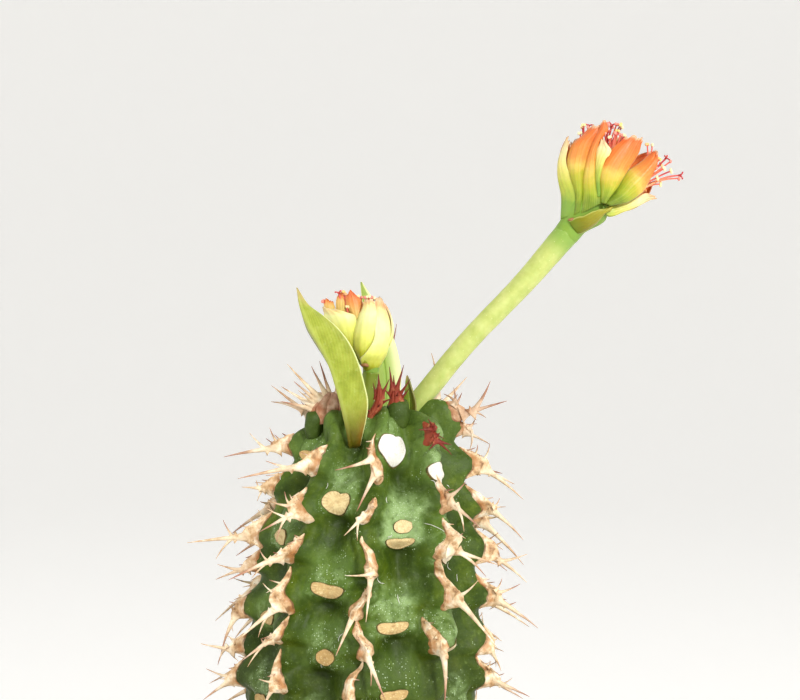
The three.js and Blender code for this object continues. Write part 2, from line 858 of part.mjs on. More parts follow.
function makeHead({ root, rootAim, rootRadius, node, core, cups, lowBracts = [] }) {
  const rootPoint = vector(...root);
  const nodePoint = vector(...node);
  const collar = loft(rootPoint, [
    ringAt(rootPoint, vector(...rootAim), rootRadius, 8),
    ringAt(nodePoint, vector(...rootAim), rootRadius * 0.95, 8),
  ], nodePoint.clone().addScaledVector(vector(...rootAim).normalize(), 1.2));
  return fuse([
    solidOf(collar),
    ball(core),
    ...cups.map((one) => cup({ node, ...one })),
    ...cups.flatMap((one, k) => stamensOf({ ...one, seed: 40 * k + 3 })),
    ...cups.flatMap(({ base, aim, bracts }) => bracts.map((one) => cupBract(base, aim, one))),
    ...lowBracts.map((one) => cupBract(node, rootAim, one)),
  ]);
}

const LONG_STALK = [
  [8.4, -0.8, 175.6],
  [11.7, -0.9, 180.2],
  [19.6, -1, 189.9],
  [28.9, -1, 199.7],
  [36.4, -1, 208.3],
];
const LONG_HEAD = {
  root: [36.6, -1, 208.55],
  rootAim: [0.62, 0, 0.78],
  rootRadius: 2.2,
  node: [38, -1, 210.6],
  core: { centre: [40.2, -1, 211.6], radii: [3.4, 2.5, 2.3] },
  cups: [
    {
      base: [38.8, -0.4, 213.6],
      aim: [0.1, 0.12, 1],
      reach: 7.2,
      bracts: [
        { to: [36.8, -0.6, 224.4], out: [-1, -0.15, 0], width: 5.4 },
        { to: [41.2, 1.2, 226.4], out: [0.4, 1, 0], width: 5.6 },
      ],
    },
    {
      base: [41.4, -2.2, 213.2],
      aim: [0.28, -0.06, 1],
      reach: 4.5,
      bracts: [
        { to: [42.4, -3, 226.4], out: [-0.8, -0.6, 0], width: 5.4 },
        { to: [48.6, -2.2, 224.6], out: [0.5, -0.87, 0], width: 7.2, arc: 105 },
      ],
    },
    {
      base: [43.6, -0.5, 212.8],
      aim: [0.82, -0.05, 0.62],
      reach: 8.2,
      bracts: [
        { to: [51.4, -0.6, 222], out: [-0.5, -0.8, 0.5], width: 5 },
        { to: [51.6, -0.8, 214.8], out: [0.3, -0.35, -1], width: 5.2 },
      ],
    },
    {
      base: [40.8, 2.4, 213.4],
      aim: [0.28, 0.1, 1],
      reach: 8.6,
      bracts: [
        { to: [39.4, 5.4, 224.8], out: [-0.5, 1, 0], width: 6.4 },
        { to: [47.2, 4.8, 223], out: [0.9, 0.7, 0], width: 6.2 },
      ],
    },
  ],
  lowBracts: [{ to: [43.8, -1.8, 212.9], out: [0.4, -0.4, -1], width: 3.4, belly: 0.3 }],
};

const SHORT_STALK = [
  [3, -2.6, 174.6],
  [2.9, -2.5, 179.5],
  [3.2, -2.2, 184.6],
];
const SHORT_HEAD = {
  root: [3.22, -2.19, 184.9],
  rootAim: [0.06, 0.05, 1],
  rootRadius: 1.5,
  node: [3.2, -2.1, 186.2],
  core: { centre: [2.6, -1.6, 187], radii: [2.2, 1.9, 1.8] },
  cups: [
    {
      base: [3.4, -2.1, 187.4],
      aim: [-0.02, -0.05, 1],
      reach: 3.4,
      count: 4,
      bracts: [
        { to: [1.4, -3, 196.8], out: [-0.4, -0.9, 0], width: 6, belly: 1.4 },
        { to: [4.6, -2.2, 197.4], out: [0.8, -0.55, 0], width: 5.6, arc: 130, belly: 1.4 },
      ],
    },
    {
      base: [1.6, -1.5, 187.4],
      aim: [-0.46, 0, 1],
      length: 6.2,
      reach: 3.6,
      count: 4,
      bracts: [
        { to: [-2.2, -2.6, 196.2], out: [0.1, -1, 0.2], width: 5.6, arc: 90, belly: 0.7 },
        { to: [-4, 0, 195.6], out: [-0.8, 0.5, -0.2], width: 5.4 },
      ],
    },
    {
      base: [2.6, -0.6, 187.4],
      aim: [-0.2, 0.1, 1],
      length: 6.6,
      reach: 4,
      count: 4,
      bracts: [{ to: [2, 1.8, 196.8], out: [0.2, 1, 0], width: 5.6 }],
    },
  ],
};

function makeStalk(points, radiusAt) {
  const curve = new THREE.CatmullRomCurve3(points.map((point) => vector(...point)));
  return solidOf(stalk(curve, radiusAt, 8, 8));
}

// Pot and soil

function potWallInside(height) {
  const top = POT_RADIUS - RIM_STEP - POT_WALL;
  const bottom = POT_BASE_RADIUS - POT_WALL;
  return bottom + ((top - bottom) * (height - POT_FLOOR)) / (POT_HEIGHT - POT_FLOOR);
}

function makePot() {
  const rimBottom = POT_HEIGHT - RIM_HEIGHT;
  const wallTop = POT_RADIUS - RIM_STEP - 1.5;
  const profile = [
    [DRAIN_RADIUS, 0],
    [POT_BASE_RADIUS - 1.2, 0],
    [POT_BASE_RADIUS, 1.2],
    [wallTop, rimBottom],
    [POT_RADIUS - 1.6, rimBottom],
    [POT_RADIUS - 1, rimBottom + 1],
    [POT_RADIUS, POT_HEIGHT - 2],
    [POT_RADIUS - 1.2, POT_HEIGHT],
    [potWallInside(POT_HEIGHT) + 1.4, POT_HEIGHT],
    [potWallInside(POT_HEIGHT) - 0.3, POT_HEIGHT - 2],
    [potWallInside(POT_FLOOR), POT_FLOOR],
    [DRAIN_RADIUS, POT_FLOOR],
    [DRAIN_RADIUS, 0],
  ];
  const lathe = new THREE.LatheGeometry(profile.map(([x, y]) => new THREE.Vector2(x, y)), POT_SIDES);
  return lathe.rotateX(Math.PI / 2);
}

// Height of the soil's gritty top
function soilTop(radius, angle, seed) {
  const mound = SOIL_MOUND * smooth(1 - (radius - 19) / 24);
  const grit = SOIL_RELIEF * (draw(seed) - 0.5);
  return SOIL_LEVEL - 1 + mound + grit + 0.4 * Math.sin(3 * angle + radius / 9);
}

function makeSoil(stemHole) {
  const outer = potWallInside(SOIL_LEVEL) - 2 * GAP;
  const rings = [];
  const ring = (radius, heightAt) => Array.from({ length: SOIL_SIDES }, (_, k) => {
    const angle = (2 * Math.PI * k) / SOIL_SIDES;
    return vector(radius * Math.cos(angle), radius * Math.sin(angle), heightAt(angle, k));
  });
  const floor = POT_FLOOR + GAP;
  rings.push(ring(potWallInside(floor) - 2 * GAP, () => floor));
  for (let step = 0; step < SOIL_RINGS; step++) {
    const radius = outer - ((outer - 16) * step) / (SOIL_RINGS - 1);
    rings.push(ring(radius, (angle, k) => soilTop(radius, angle, 1000 + 50 * step + k)));
  }
  const body = solidOf(loft(vector(0, 0, floor), rings, vector(0, 0, SOIL_LEVEL)));
  return body.subtract(stemHole);
}

// Plain hole that follows the foot of the stem at the clearance
function stemHole() {
  const ring = (run, height, grow) => PLACES.map((place) => (
    stemPoint(place, run, grow).setZ(height)
  ));
  const depthEnd = OUTLINE.at(-1)[1];
  const bottom = APEX_HEIGHT - depthEnd - GAP;
  const soilRun = runAtDepth(STEM_ABOVE_SOIL);
  const top = SOIL_LEVEL + 4;
  const rings = [
    ring(OUTLINE_END, bottom, GAP),
    ring(soilRun, SOIL_LEVEL, GAP),
    ring(soilRun, top, GAP),
  ];
  return solidOf(loft(vector(0, 0, bottom), rings, vector(0, 0, top)));
}

// Assembly

const FINISHES = {
  pot: new THREE.MeshStandardMaterial({ color: 0xb5623f, roughness: 0.85, metalness: 0 }),
  soil: new THREE.MeshStandardMaterial({ color: 0x4a3a2c, roughness: 1, metalness: 0 }),
  stem: new THREE.MeshStandardMaterial({ color: 0x4c7a3a, roughness: 0.55, metalness: 0 }),
  leaf: new THREE.MeshStandardMaterial({ color: 0xa8bf4a, roughness: 0.45, metalness: 0 }),
  stalk: new THREE.MeshStandardMaterial({ color: 0x9dbb5c, roughness: 0.45, metalness: 0 }),
  bloom: new THREE.MeshStandardMaterial({ color: 0xf08a4b, roughness: 0.5, metalness: 0 }),
};

function meshOf(name, shape, material) {
  const geometry = shape.isBufferGeometry ? shape : geometryFrom(shape);
  const mesh = new THREE.Mesh(geometry, material);
  mesh.name = name;
  return mesh;
}

const plant = new THREE.Group();
const crown = stemSkin(GAP);
const longStalk = makeStalk(LONG_STALK, (t) => 2.05 - 1.4 * t * (1 - t) + 0.1 * t);
const shortStalk = makeStalk(SHORT_STALK, () => 1.35);

plant.add(meshOf('pot', makePot(), FINISHES.pot));
plant.add(meshOf('soil', makeSoil(stemHole()), FINISHES.soil));
plant.add(meshOf('stem', makeStem(), FINISHES.stem));
plant.add(meshOf('leaf_large', solidOf(foldedLeaf(LEAF_LARGE)).subtract(crown), FINISHES.leaf));
plant.add(meshOf('leaf_back', solidOf(foldedLeaf(LEAF_BACK)).subtract(crown), FINISHES.leaf));
plant.add(meshOf('leaf_young', solidOf(foldedLeaf(LEAF_YOUNG)).subtract(crown), FINISHES.leaf));
plant.add(meshOf('flower_stalk_long', longStalk.subtract(crown), FINISHES.stalk));
plant.add(meshOf('bloom_long', makeHead(LONG_HEAD), FINISHES.bloom));
plant.add(meshOf('flower_stalk_short', shortStalk.subtract(crown), FINISHES.stalk));
plant.add(meshOf('bloom_short', makeHead(SHORT_HEAD), FINISHES.bloom));

export default plant;
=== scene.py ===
import math

import bmesh
import bpy
import numpy as np
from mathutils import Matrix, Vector


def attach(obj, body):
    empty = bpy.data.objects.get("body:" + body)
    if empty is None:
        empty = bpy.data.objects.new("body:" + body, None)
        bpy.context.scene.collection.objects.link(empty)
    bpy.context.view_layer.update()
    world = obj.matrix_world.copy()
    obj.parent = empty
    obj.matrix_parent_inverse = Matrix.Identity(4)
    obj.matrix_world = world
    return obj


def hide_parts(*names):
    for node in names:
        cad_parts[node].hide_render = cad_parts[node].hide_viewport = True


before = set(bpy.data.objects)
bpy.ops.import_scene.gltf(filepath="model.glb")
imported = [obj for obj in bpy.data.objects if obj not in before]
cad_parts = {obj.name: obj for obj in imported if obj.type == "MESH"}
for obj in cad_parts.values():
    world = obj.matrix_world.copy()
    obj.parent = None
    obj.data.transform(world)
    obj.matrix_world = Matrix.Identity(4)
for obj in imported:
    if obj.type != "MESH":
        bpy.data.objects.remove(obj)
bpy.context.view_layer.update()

# Lengths are millimetres. add_piece, make_stage and make_camera turn them into metres, and only the
# lights are placed in metres.
MM = 0.001

# Camera: the photograph's frame and angle
PHOTO_SIZE = (800, 700)
PIXEL = 0.17  # millimetres a pixel covers in the plane of the stem's axis
ORIGIN_PIXEL = (352, 400)  # where x = 0 and z = APEX_HEIGHT lie in the photograph
DISTANCE = 360
SENSOR = 36
ELEVATION = math.radians(3)

# Stem: the sizes of part.mjs, with finer lobes and grooves
APEX_HEIGHT = 180
SOIL_LEVEL = 80
LEAN = 5.4
LEAN_POWER = 1.8
RIBS = 9
FRONT_TURN = -1.8
VALLEY_DEPTH = 4.5
SCAR_PITCH = 13.6
SCAR_SWELL = 2.3
LOWEST_SCAR = 93
# Scars that stand beside their column's middle, by column and order, in ribs
SCAR_ASIDE = {(0, 0): -0.20, (0, 2): -0.08, (1, 0): -0.40, (1, 1): -0.36, (1, 2): -0.36, (8, 3): 0.06}
SHIELD_LENGTH = 6.5
# Radius and depth below the apex along a rib's crest
OUTLINE = np.array([
    (0, 2.4), (4, 1.5), (7.6, 0.6), (10.4, 1.2), (12.4, 4), (14.8, 9.7), (17, 16.5), (18.4, 23.8),
    (19.6, 34), (20.2, 48), (20.2, 62), (19.9, 76), (19.2, 90), (18.6, 100), (18, 108),
], float)
# Heights of the highest scars of each column, from the front one round
SCAR_HEIGHTS = (
    (173, 159.8, 145, 133.6),
    (169.8, 155.9, 141.5),
    (178, 164.6),
    (173,),
    (168.7,),
    (175.6,),
    (166.5,),
    (171.3,),
    (177.6, 165, 150.9, 139.5),
)
HIGHEST_SCAR = 176.5  # a place above this has a swelling and no scar


# Numbers

def smooth(t):
    t = np.clip(t, 0, 1)
    return t * t * (3 - 2 * t)


def draw(seed):
    """Repeatable draw between 0 and 1."""
    wave = np.sin(np.asarray(seed, float) * 12.9898 + 4.1414) * 43758.5453
    return wave - np.floor(wave)


def turns(count):
    """Angles of this many even steps once round."""
    return np.linspace(0, 2 * math.pi, count, endpoint=False)


def points_at(x, y, z):
    """Points from coordinates of any shapes that fit together."""
    return np.stack(np.broadcast_arrays(x, y, z), -1)


def circle(reach, turn, height):
    """Points at a reach and a height in the directions turn round the z axis."""
    return points_at(reach * np.cos(turn), reach * np.sin(turn), height)


def unit(vectors):
    vectors = np.asarray(vectors, float)
    return vectors / np.maximum(np.linalg.norm(vectors, axis=-1, keepdims=True), 1e-12)


def noise(points, size, seed=0):
    """Smooth repeatable noise from -1 to 1 with lumps of about this size."""
    place = np.asarray(points, float) / size + 31.7 * seed
    cell = np.floor(place).astype(np.int64)
    t = place - cell
    t = t * t * (3 - 2 * t)
    total = 0.0
    for corner in range(8):
        step = np.array([corner & 1, corner >> 1 & 1, corner >> 2 & 1])
        k = cell + step
        key = (k[..., 0] * 73856093) ^ (k[..., 1] * 19349663) ^ (k[..., 2] * 83492791)
        key = (key ^ (key >> 13)) * 1274126177 & 0xFFFFFFFF
        value = ((key ^ (key >> 16)) & 0xFFFF) / 32767.5 - 1
        total = total + value * np.prod(np.where(step == 1, t, 1 - t), axis=-1)
    return total


# Curves

def curve_through(points):
    """Centripetal Catmull-Rom curve through points, from 0 to 1."""
    points = np.asarray(points, float)
    points = np.concatenate([[2 * points[0] - points[1]], points, [2 * points[-1] - points[-2]]])
    steps = np.linalg.norm(np.diff(points, axis=0), axis=1) ** 0.5

    def at(t):
        place = np.clip(t, 0, 1) * (len(points) - 3)
        i = np.minimum(place.astype(int), len(points) - 4)
        w = (place - i)[..., None]
        p0, p1, p2, p3 = (points[i + k] for k in range(4))
        d0, d1, d2 = (steps[i + k][..., None] for k in range(3))
        first = ((p1 - p0) / d0 - (p2 - p0) / (d0 + d1) + (p2 - p1) / d1) * d1
        second = ((p2 - p1) / d1 - (p3 - p1) / (d1 + d2) + (p3 - p2) / d2) * d1
        return (p1 + first * w + (3 * (p2 - p1) - 2 * first - second) * w**2
                + (2 * (p1 - p2) + first + second) * w**3)

    return lambda t: at(np.asarray(t, float))


def tangent_of(curve, t):
    low, high = np.clip(t - 1e-3, 0, 1), np.clip(t + 1e-3, 0, 1)
    return unit(curve(high) - curve(low))


def two_curves(rows):
    """Curves through the first and through the second point of each row."""
    rows = np.asarray(rows, float)
    return curve_through(rows[:, :3]), curve_through(rows[:, 3:])


def arc(start, middle, tip, u):
    """Path that leaves start towards middle and reaches tip coming from it."""
    return (1 - u) ** 2 * start + 2 * u * (1 - u) * middle + u**2 * tip


def bent(start, lead, tip, steps):
    """Path that leaves along a direction and bends to the tip."""
    length = float(np.linalg.norm(tip - start))
    u = np.linspace(0, 1, steps)[:, None] ** 1.25
    middle = start + 0.4 * length * unit(lead + 1.6 * (tip - start) / length)
    return arc(start, middle, tip, u)


# Meshes

def grid_faces(rows, columns, closed=False, first=0):
    """Quads between the neighbours of a grid of points. closed joins its last column to its first."""
    i = np.arange(rows - 1)[:, None] * columns
    j = np.arange(columns if closed else columns - 1)[None, :]
    k = (j + 1) % columns
    return (np.stack([i + j, i + k, i + k + columns, i + j + columns], -1).reshape(-1, 4) + first).tolist()


class Form:
    """Points, faces and named values of one piece, gathered from its parts."""

    def __init__(self, *names):
        self.points, self.faces, self.count = [], [], 0
        self.values = {name: [] for name in names}

    def add(self, points, faces, **values):
        points = np.asarray(points, float).reshape(-1, 3)
        self.points.append(points)
        self.faces += [[k + self.count for k in face] for face in faces]
        for name, kept in self.values.items():
            kept.append(np.broadcast_to(np.asarray(values.get(name, 0.0), float), len(points)))
        self.count += len(points)


def closed_rings(rings):
    """Points and faces of a closed skin through rings, each end drawn to its middle."""
    rings = np.asarray(rings, float)
    rows, columns = rings.shape[:2]
    points = np.concatenate([rings.reshape(-1, 3), rings[0].mean(0)[None], rings[-1].mean(0)[None]])
    faces = grid_faces(rows, columns, closed=True)
    first, last, base = rows * columns, rows * columns + 1, (rows - 1) * columns
    for k in range(columns):
        after = (k + 1) % columns
        faces.append([first, after, k])
        faces.append([last, base + k, base + after])
    return points, faces


def ring_values(values, sides, ends):
    """One value for the points of each ring of closed_rings, then those of its two end points."""
    return np.append(np.repeat(values, sides), ends)


def frames_along(path, start):
    """Two directions square to a path at each of its points, the first one nearest to start."""
    tangent = unit(np.gradient(path, axis=0))
    across = unit(np.asarray(start, float) - tangent * (tangent @ np.asarray(start, float))[:, None])
    return across, np.cross(tangent, across)


def tube(path, radii, sides, start=(0.3, 0.2, 1), wide=None):
    """Closed tube along a path. wide is its radii along start, where they differ."""
    path = np.asarray(path, float)
    across, other = frames_along(path, start)
    turn = turns(sides)
    radii = np.broadcast_to(np.asarray(radii, float), len(path))
    wide = radii if wide is None else wide
    rings = (path[:, None] + wide[:, None, None] * np.cos(turn)[None, :, None] * across[:, None]
             + radii[:, None, None] * np.sin(turn)[None, :, None] * other[:, None])
    return closed_rings(rings)


def blade(surface, rows, columns, thickness):
    """Closed thin form over surface(s, v), s from 0 to 1 along it and v from -1 to 1 across it. Also
    returns s and v of its points."""
    s, v = np.meshgrid(np.linspace(0, 1, rows), np.linspace(-1, 1, columns), indexing="ij")
    small = 1e-3
    here = surface(s, v)
    along = surface(s + small, v) - surface(s - small, v)
    aside = surface(s, v + small) - surface(s, v - small)
    normal = unit(np.cross(along, aside)) * (thickness(s, v) / 2)[..., None]
    count = rows * columns
    points = np.concatenate([(here + normal).reshape(-1, 3), (here - normal).reshape(-1, 3)])
    front = grid_faces(rows, columns)
    faces = front + [[k + count for k in reversed(face)] for face in front]
    rim = ([r * columns for r in range(rows)] + [(rows - 1) * columns + c for c in range(1, columns)]
           + [r * columns + columns - 1 for r in range(rows - 2, -1, -1)] + list(range(columns - 2, 0, -1)))
    faces += [[a, b, b + count, a + count] for a, b in zip(rim, rim[1:] + rim[:1])]
    return points, faces, np.tile(s.ravel(), 2), np.tile(v.ravel(), 2)


def ball(centre, radii, columns, rows):
    """Egg-shaped closed form."""
    rise = np.linspace(-math.pi / 2, math.pi / 2, rows + 2)[1:-1]
    points, faces = closed_rings(circle(np.cos(rise)[:, None], turns(columns), np.sin(rise)[:, None]))
    points[-2:, 2] = (-1, 1)
    return points * np.asarray(radii) + centre, faces


def add_piece(name, form, material, slot, *nodes):
    """Makes one piece of the model from a form and hangs it on the CAD frame."""
    mesh = bpy.data.meshes.new(name)
    mesh.from_pydata((np.concatenate(form.points) * MM).tolist(), [], form.faces)
    for key, kept in form.values.items():
        attribute = mesh.attributes.new(key, "FLOAT", "POINT")
        attribute.data.foreach_set("value", np.concatenate(kept).astype(np.float32))
    solid = bmesh.new()
    solid.from_mesh(mesh)
    bmesh.ops.recalc_face_normals(solid, faces=solid.faces)
    solid.to_mesh(mesh)
    solid.free()
    mesh.polygons.foreach_set("use_smooth", [True] * len(mesh.polygons))
    piece = bpy.data.objects.new(name, mesh)
    bpy.context.scene.collection.objects.link(piece)
    mesh.materials.append(material)
    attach(piece, "root")
    if nodes:
        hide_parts(*nodes)


# Materials

SOCKETS = {
    "roughness": "Roughness",
    "specular": "Specular IOR Level",
    "subsurface": "Subsurface Weight",
    "subsurface_scale": "Subsurface Scale",
}


class Shader:
    """A material's node tree, built from its surface shader back."""

    def __init__(self, name, **settings):
        self.material = bpy.data.materials.new(name)
        self.material.use_nodes = True
        self.tree = self.material.node_tree
        self.surface = self.tree.nodes["Principled BSDF"]
        for key, value in settings.items():
            self.surface.inputs[SOCKETS[key]].default_value = value
        self.place = self.add("TexCoord").outputs["Object"]

    def add(self, kind, inputs=(), **settings):
        node = self.tree.nodes.new("ShaderNode" + kind)
        for key, value in settings.items():
            setattr(node, key, value)
        for key, value in dict(inputs).items():
            if isinstance(value, bpy.types.NodeSocket):
                self.tree.links.new(value, node.inputs[key])
            elif value is not None:
                node.inputs[key].default_value = value
        return node

    def value(self, name):
        return self.add("Attribute", attribute_name=name).outputs["Fac"]

    def noise(self, size, detail=3, rough=0.55, stretch=None):
        """Noise from 0 to 1 with lumps of about this many millimetres."""
        place = self.place
        if stretch:
            place = self.add("Mapping", {"Vector": place, "Scale": stretch}).outputs[0]
        return self.add("TexNoise", {"Vector": place, "Scale": 1 / (size * MM), "Detail": detail,
                                     "Roughness": rough}).outputs[0]

    def cells(self, size):
        """Distance from the middle of cells of about this many millimetres, and each one's colour."""
        node = self.add("TexVoronoi", {"Vector": self.place, "Scale": 1 / (size * MM)})
        return node.outputs["Distance"], node.outputs["Color"]

    def math(self, operation, a, b=0.5):
        return self.add("Math", {0: a, 1: b}, operation=operation).outputs[0]

    def times(self, a, b):
        return self.math("MULTIPLY", a, b)

    def plus(self, a, b):
        return self.math("ADD", a, b)

    def span(self, value, low, high, to_low=0.0, to_high=1.0):
        """value from low to high, taken smoothly to to_low to to_high."""
        return self.add("MapRange", {0: value, 1: low, 2: high, 3: to_low, 4: to_high},
                        interpolation_type="SMOOTHSTEP").outputs[0]

    def by_height(self, low, high, to_low=0.0, to_high=1.0, uneven=None):
        """Value that changes between two heights above the floor, in millimetres. uneven shifts them."""
        height = self.add("SeparateXYZ", {0: self.place}).outputs[2]
        if uneven is not None:
            height = self.plus(height, uneven)
        return self.span(height, low * MM, high * MM, to_low, to_high)

    def ramp(self, value, *stops, blend="LINEAR"):
        """Colour for a value, between stops of (value, colour)."""
        node = self.add("ValToRGB", {0: value})
        node.color_ramp.interpolation = blend
        elements = node.color_ramp.elements
        while len(elements) < len(stops):
            elements.new(0.5)
        for element, (place, colour) in zip(elements, stops):
            element.position = place
            element.color = (*colour, 1)
        return node.outputs[0]

    def mix(self, share, a, b):
        """Colour a with a share of colour b."""
        node = self.add("Mix", data_type="RGBA")
        for socket, value in zip((node.inputs[0], node.inputs[6], node.inputs[7]), (share, a, b)):
            if isinstance(value, bpy.types.NodeSocket):
                self.tree.links.new(value, socket)
            elif isinstance(value, tuple):
                socket.default_value = (*value, 1)
            else:
                socket.default_value = value
        return node.outputs[2]

    def finish(self, colour, roughness=None, heights=()):
        """Links the colour, the roughness, and bumps given as (height, millimetres)."""
        self.tree.links.new(colour, self.surface.inputs["Base Color"])
        if roughness is not None:
            self.tree.links.new(roughness, self.surface.inputs["Roughness"])
        normal = None
        for height, depth in heights:
            normal = self.add("Bump", {"Height": height, "Distance": depth * MM, "Strength": 1.0,
                                       "Normal": normal}).outputs[0]
        if normal is not None:
            self.tree.links.new(normal, self.surface.inputs["Normal"])
        return self.material


# Stem skin

KNOTS = np.concatenate([[0], np.cumsum(np.hypot(*np.diff(OUTLINE, axis=0).T))])
BEFORE = np.maximum(np.arange(len(KNOTS)) - 1, 0)
AFTER = np.minimum(np.arange(len(KNOTS)) + 1, len(KNOTS) - 1)
SLOPES = (OUTLINE[AFTER] - OUTLINE[BEFORE]) / (KNOTS[AFTER] - KNOTS[BEFORE])[:, None]


def outline_at(run):
    """Radius and depth at a running length along the outline of the rib crests."""
    s = np.clip(run, 0, KNOTS[-1])
    i = np.clip(np.searchsorted(KNOTS, s) - 1, 0, len(KNOTS) - 2)
    span = (KNOTS[i + 1] - KNOTS[i])[..., None]
    t = (s - KNOTS[i])[..., None] / span
    point = ((2 * t**3 - 3 * t**2 + 1) * OUTLINE[i] + (t**3 - 2 * t**2 + t) * span * SLOPES[i]
             + (3 * t**2 - 2 * t**3) * OUTLINE[i + 1] + (t**3 - t**2) * span * SLOPES[i + 1])
    return point[..., 0], point[..., 1]


SIDE_RUNS = np.linspace(KNOTS[3], KNOTS[-1], 4000)
SIDE_DEPTHS = outline_at(SIDE_RUNS)[1]


def run_at_height(height):
    return np.interp(APEX_HEIGHT - np.asarray(height, float), SIDE_DEPTHS, SIDE_RUNS)


def all_scars():
    scars = []
    for column, heights in enumerate(SCAR_HEIGHTS):
        heights = list(heights)
        while heights[-1] - SCAR_PITCH > LOWEST_SCAR:
            heights.append(heights[-1] - SCAR_PITCH)
        scars += [(column, order, column + 0.5 + SCAR_ASIDE.get((column, order), 0), height)
                  for order, height in enumerate(heights)]
    return scars


SCARS = all_scars()


def around_from(start, end):
    """Shortest way round from one place to another, in ribs."""
    turn = (end - start) / RIBS
    return (turn - np.round(turn)) * RIBS


LIP = 1.1  # the scar's own flat part of a swelling reaches this far up and down
FLOOR_RISE = 1.3  # the middle of a column stands higher than the grooves beside it
GROOVE_DEPTH = 0.75
# A rib's lobe: its rise from a crest that lies lower, its half width in ribs, how far above the foot
# of its comb it is highest, and its slope, undercut and flat part
LOBE_RISE = 2.1
LOBE_BASE = 0.65
LOBE_REACH = 0.42
LOBE_ABOVE_FOOT = 1.6
LOBE_SLOPE = 4.3
LOBE_UNDERCUT = 2.0
LOBE_FLAT = 0.5
# A leaf scar's swelling and the painted light on it: how far they slope up above its lip and are cut in below
# it
SWELL_SLOPE = 0.6 * SCAR_PITCH
PAINTED_LIGHT_SLOPE = 0.85 * SCAR_PITCH
SWELL_UNDERCUT = 0.17 * SCAR_PITCH
SWELL_WIDTH = 0.42  # in ribs
CREST_SWAY = 0.09  # how far the crests sway round each swelling, in ribs
UNDER_DROP = 3.0  # the wrinkled hollow lies this far below the scar
# The relief is full where the stem is thicker than this, and fades out below this depth
FULL_RELIEF_RADIUS = 13
FADE_DEPTH = 82
FADE_LENGTH = 16
GROOVE_PLACE = 0.29  # from the middle of a column, in ribs
GROOVE_WIDTH = 0.05
# How strong the painted light is on the swelling above each scar, by column and order: a pale patch that
# stands in for light falling on that slope
PAINTED_LIGHT = {(0, 0): 0.6, (0, 1): 1.3, (0, 2): 0.78, (0, 3): 0.08, (8, 0): 0.55, (8, 1): 0.75, (8, 2): 0.5,
         (8, 3): 0.45, (1, 0): 0.65, (1, 1): 0.75, (1, 2): 0.8}
USUAL_PAINTED_LIGHT = 0.65


def swelling(above, slope, undercut, flat=LIP):
    """Saw-shaped: a long slope above, highest at the lip, sharply cut in below it."""
    return np.where(above > 0, smooth(1 - (above - flat) / slope), smooth(1 + (above + flat) / undercut))


def alike(around, run):
    """Both as arrays of numbers of one shape."""
    return np.broadcast_arrays(np.atleast_1d(around).astype(float), np.atleast_1d(run).astype(float))


def relief(around, run):
    """Rise of the skin over the outline, with the parts that make it up."""
    radius, depth = outline_at(run)
    height = APEX_HEIGHT - depth
    strength = np.minimum(1, radius / FULL_RELIEF_RADIUS) * (1 - smooth((depth - FADE_DEPTH) / FADE_LENGTH))
    shift, bulge, scallop, under, bloom = np.zeros((5, *np.shape(height)))
    for column, order, place, scar_height in SCARS:
        aside = around_from(column + 0.5, around)
        above = height - scar_height
        near = (np.abs(aside) <= 1) & (np.abs(above) <= SCAR_PITCH)
        aside, above = aside[near], above[near]
        beside = np.abs(aside - (place - column - 0.5))
        lip = swelling(above, SWELL_SLOPE, SWELL_UNDERCUT)
        reach = np.maximum(0, 1 - np.abs(aside))
        shift[near] += CREST_SWAY * np.sign(aside) * lip * (1 - reach) * reach * 4 * smooth(reach / 0.35)
        rise = lip * smooth((0.5 - beside) / SWELL_WIDTH)
        bulge[near] = np.maximum(bulge[near], rise)
        # Painted light: a pale patch on the swelling's upper slope, where the light falls, kept in the value
        # bloom
        painted_light = swelling(above, PAINTED_LIGHT_SLOPE, SWELL_UNDERCUT) * smooth((0.52 - beside) / SWELL_WIDTH)
        bloom[near] = np.maximum(bloom[near], painted_light * PAINTED_LIGHT.get((column, order), USUAL_PAINTED_LIGHT))
        cut = np.exp(-((above + UNDER_DROP) / 1.5) ** 2) * np.exp(-((beside / 0.27) ** 2))
        under[near] = np.maximum(under[near], cut)
    for rib, feet in LOBES.items():
        aside = around_from(rib, around)
        near = np.abs(aside) < LOBE_REACH
        if near.any():
            above = height[near][:, None] - feet - LOBE_ABOVE_FOOT
            rise = swelling(above, LOBE_SLOPE, LOBE_UNDERCUT, LOBE_FLAT).max(1)
            scallop[near] = np.maximum(scallop[near], rise * (1 - (aside[near] / LOBE_REACH) ** 2) ** 2)
    side = around - shift
    side = side - np.floor(side) - 0.5
    valley = ((1 + np.cos(2 * math.pi * side)) / 2) ** 1.15
    floor = smooth((0.32 - np.abs(side)) / 0.26)
    bend = 0.55 + 0.45 * np.sin(0.41 * run + 2.3 * np.floor(around))
    groove = bend * np.exp(-((side - GROOVE_PLACE) / GROOVE_WIDTH) ** 2)
    groove = groove + (1 - bend) * np.exp(-((side + GROOVE_PLACE) / GROOVE_WIDTH) ** 2)
    flesh = (SCAR_SWELL * bulge + LOBE_RISE * scallop - LOBE_BASE - VALLEY_DEPTH * valley
             + FLOOR_RISE * floor - GROOVE_DEPTH * groove - 0.35 * under)
    # deep is how far the skin lies below its outline; with under it gives the painted shade in the skin's
    # colour
    deep = np.clip(-flesh / VALLEY_DEPTH, 0, 1)
    return strength * flesh, dict(deep=deep, bulge=bulge * strength, under=under, shift=shift,
                                  bloom=bloom * strength)


def place_angle(around):
    return np.radians(-90 + FRONT_TURN + 360 * np.asarray(around, float) / RIBS)


def axis_x(height):
    return LEAN * np.maximum(0, (height - SOIL_LEVEL) / (APEX_HEIGHT - SOIL_LEVEL)) ** LEAN_POWER


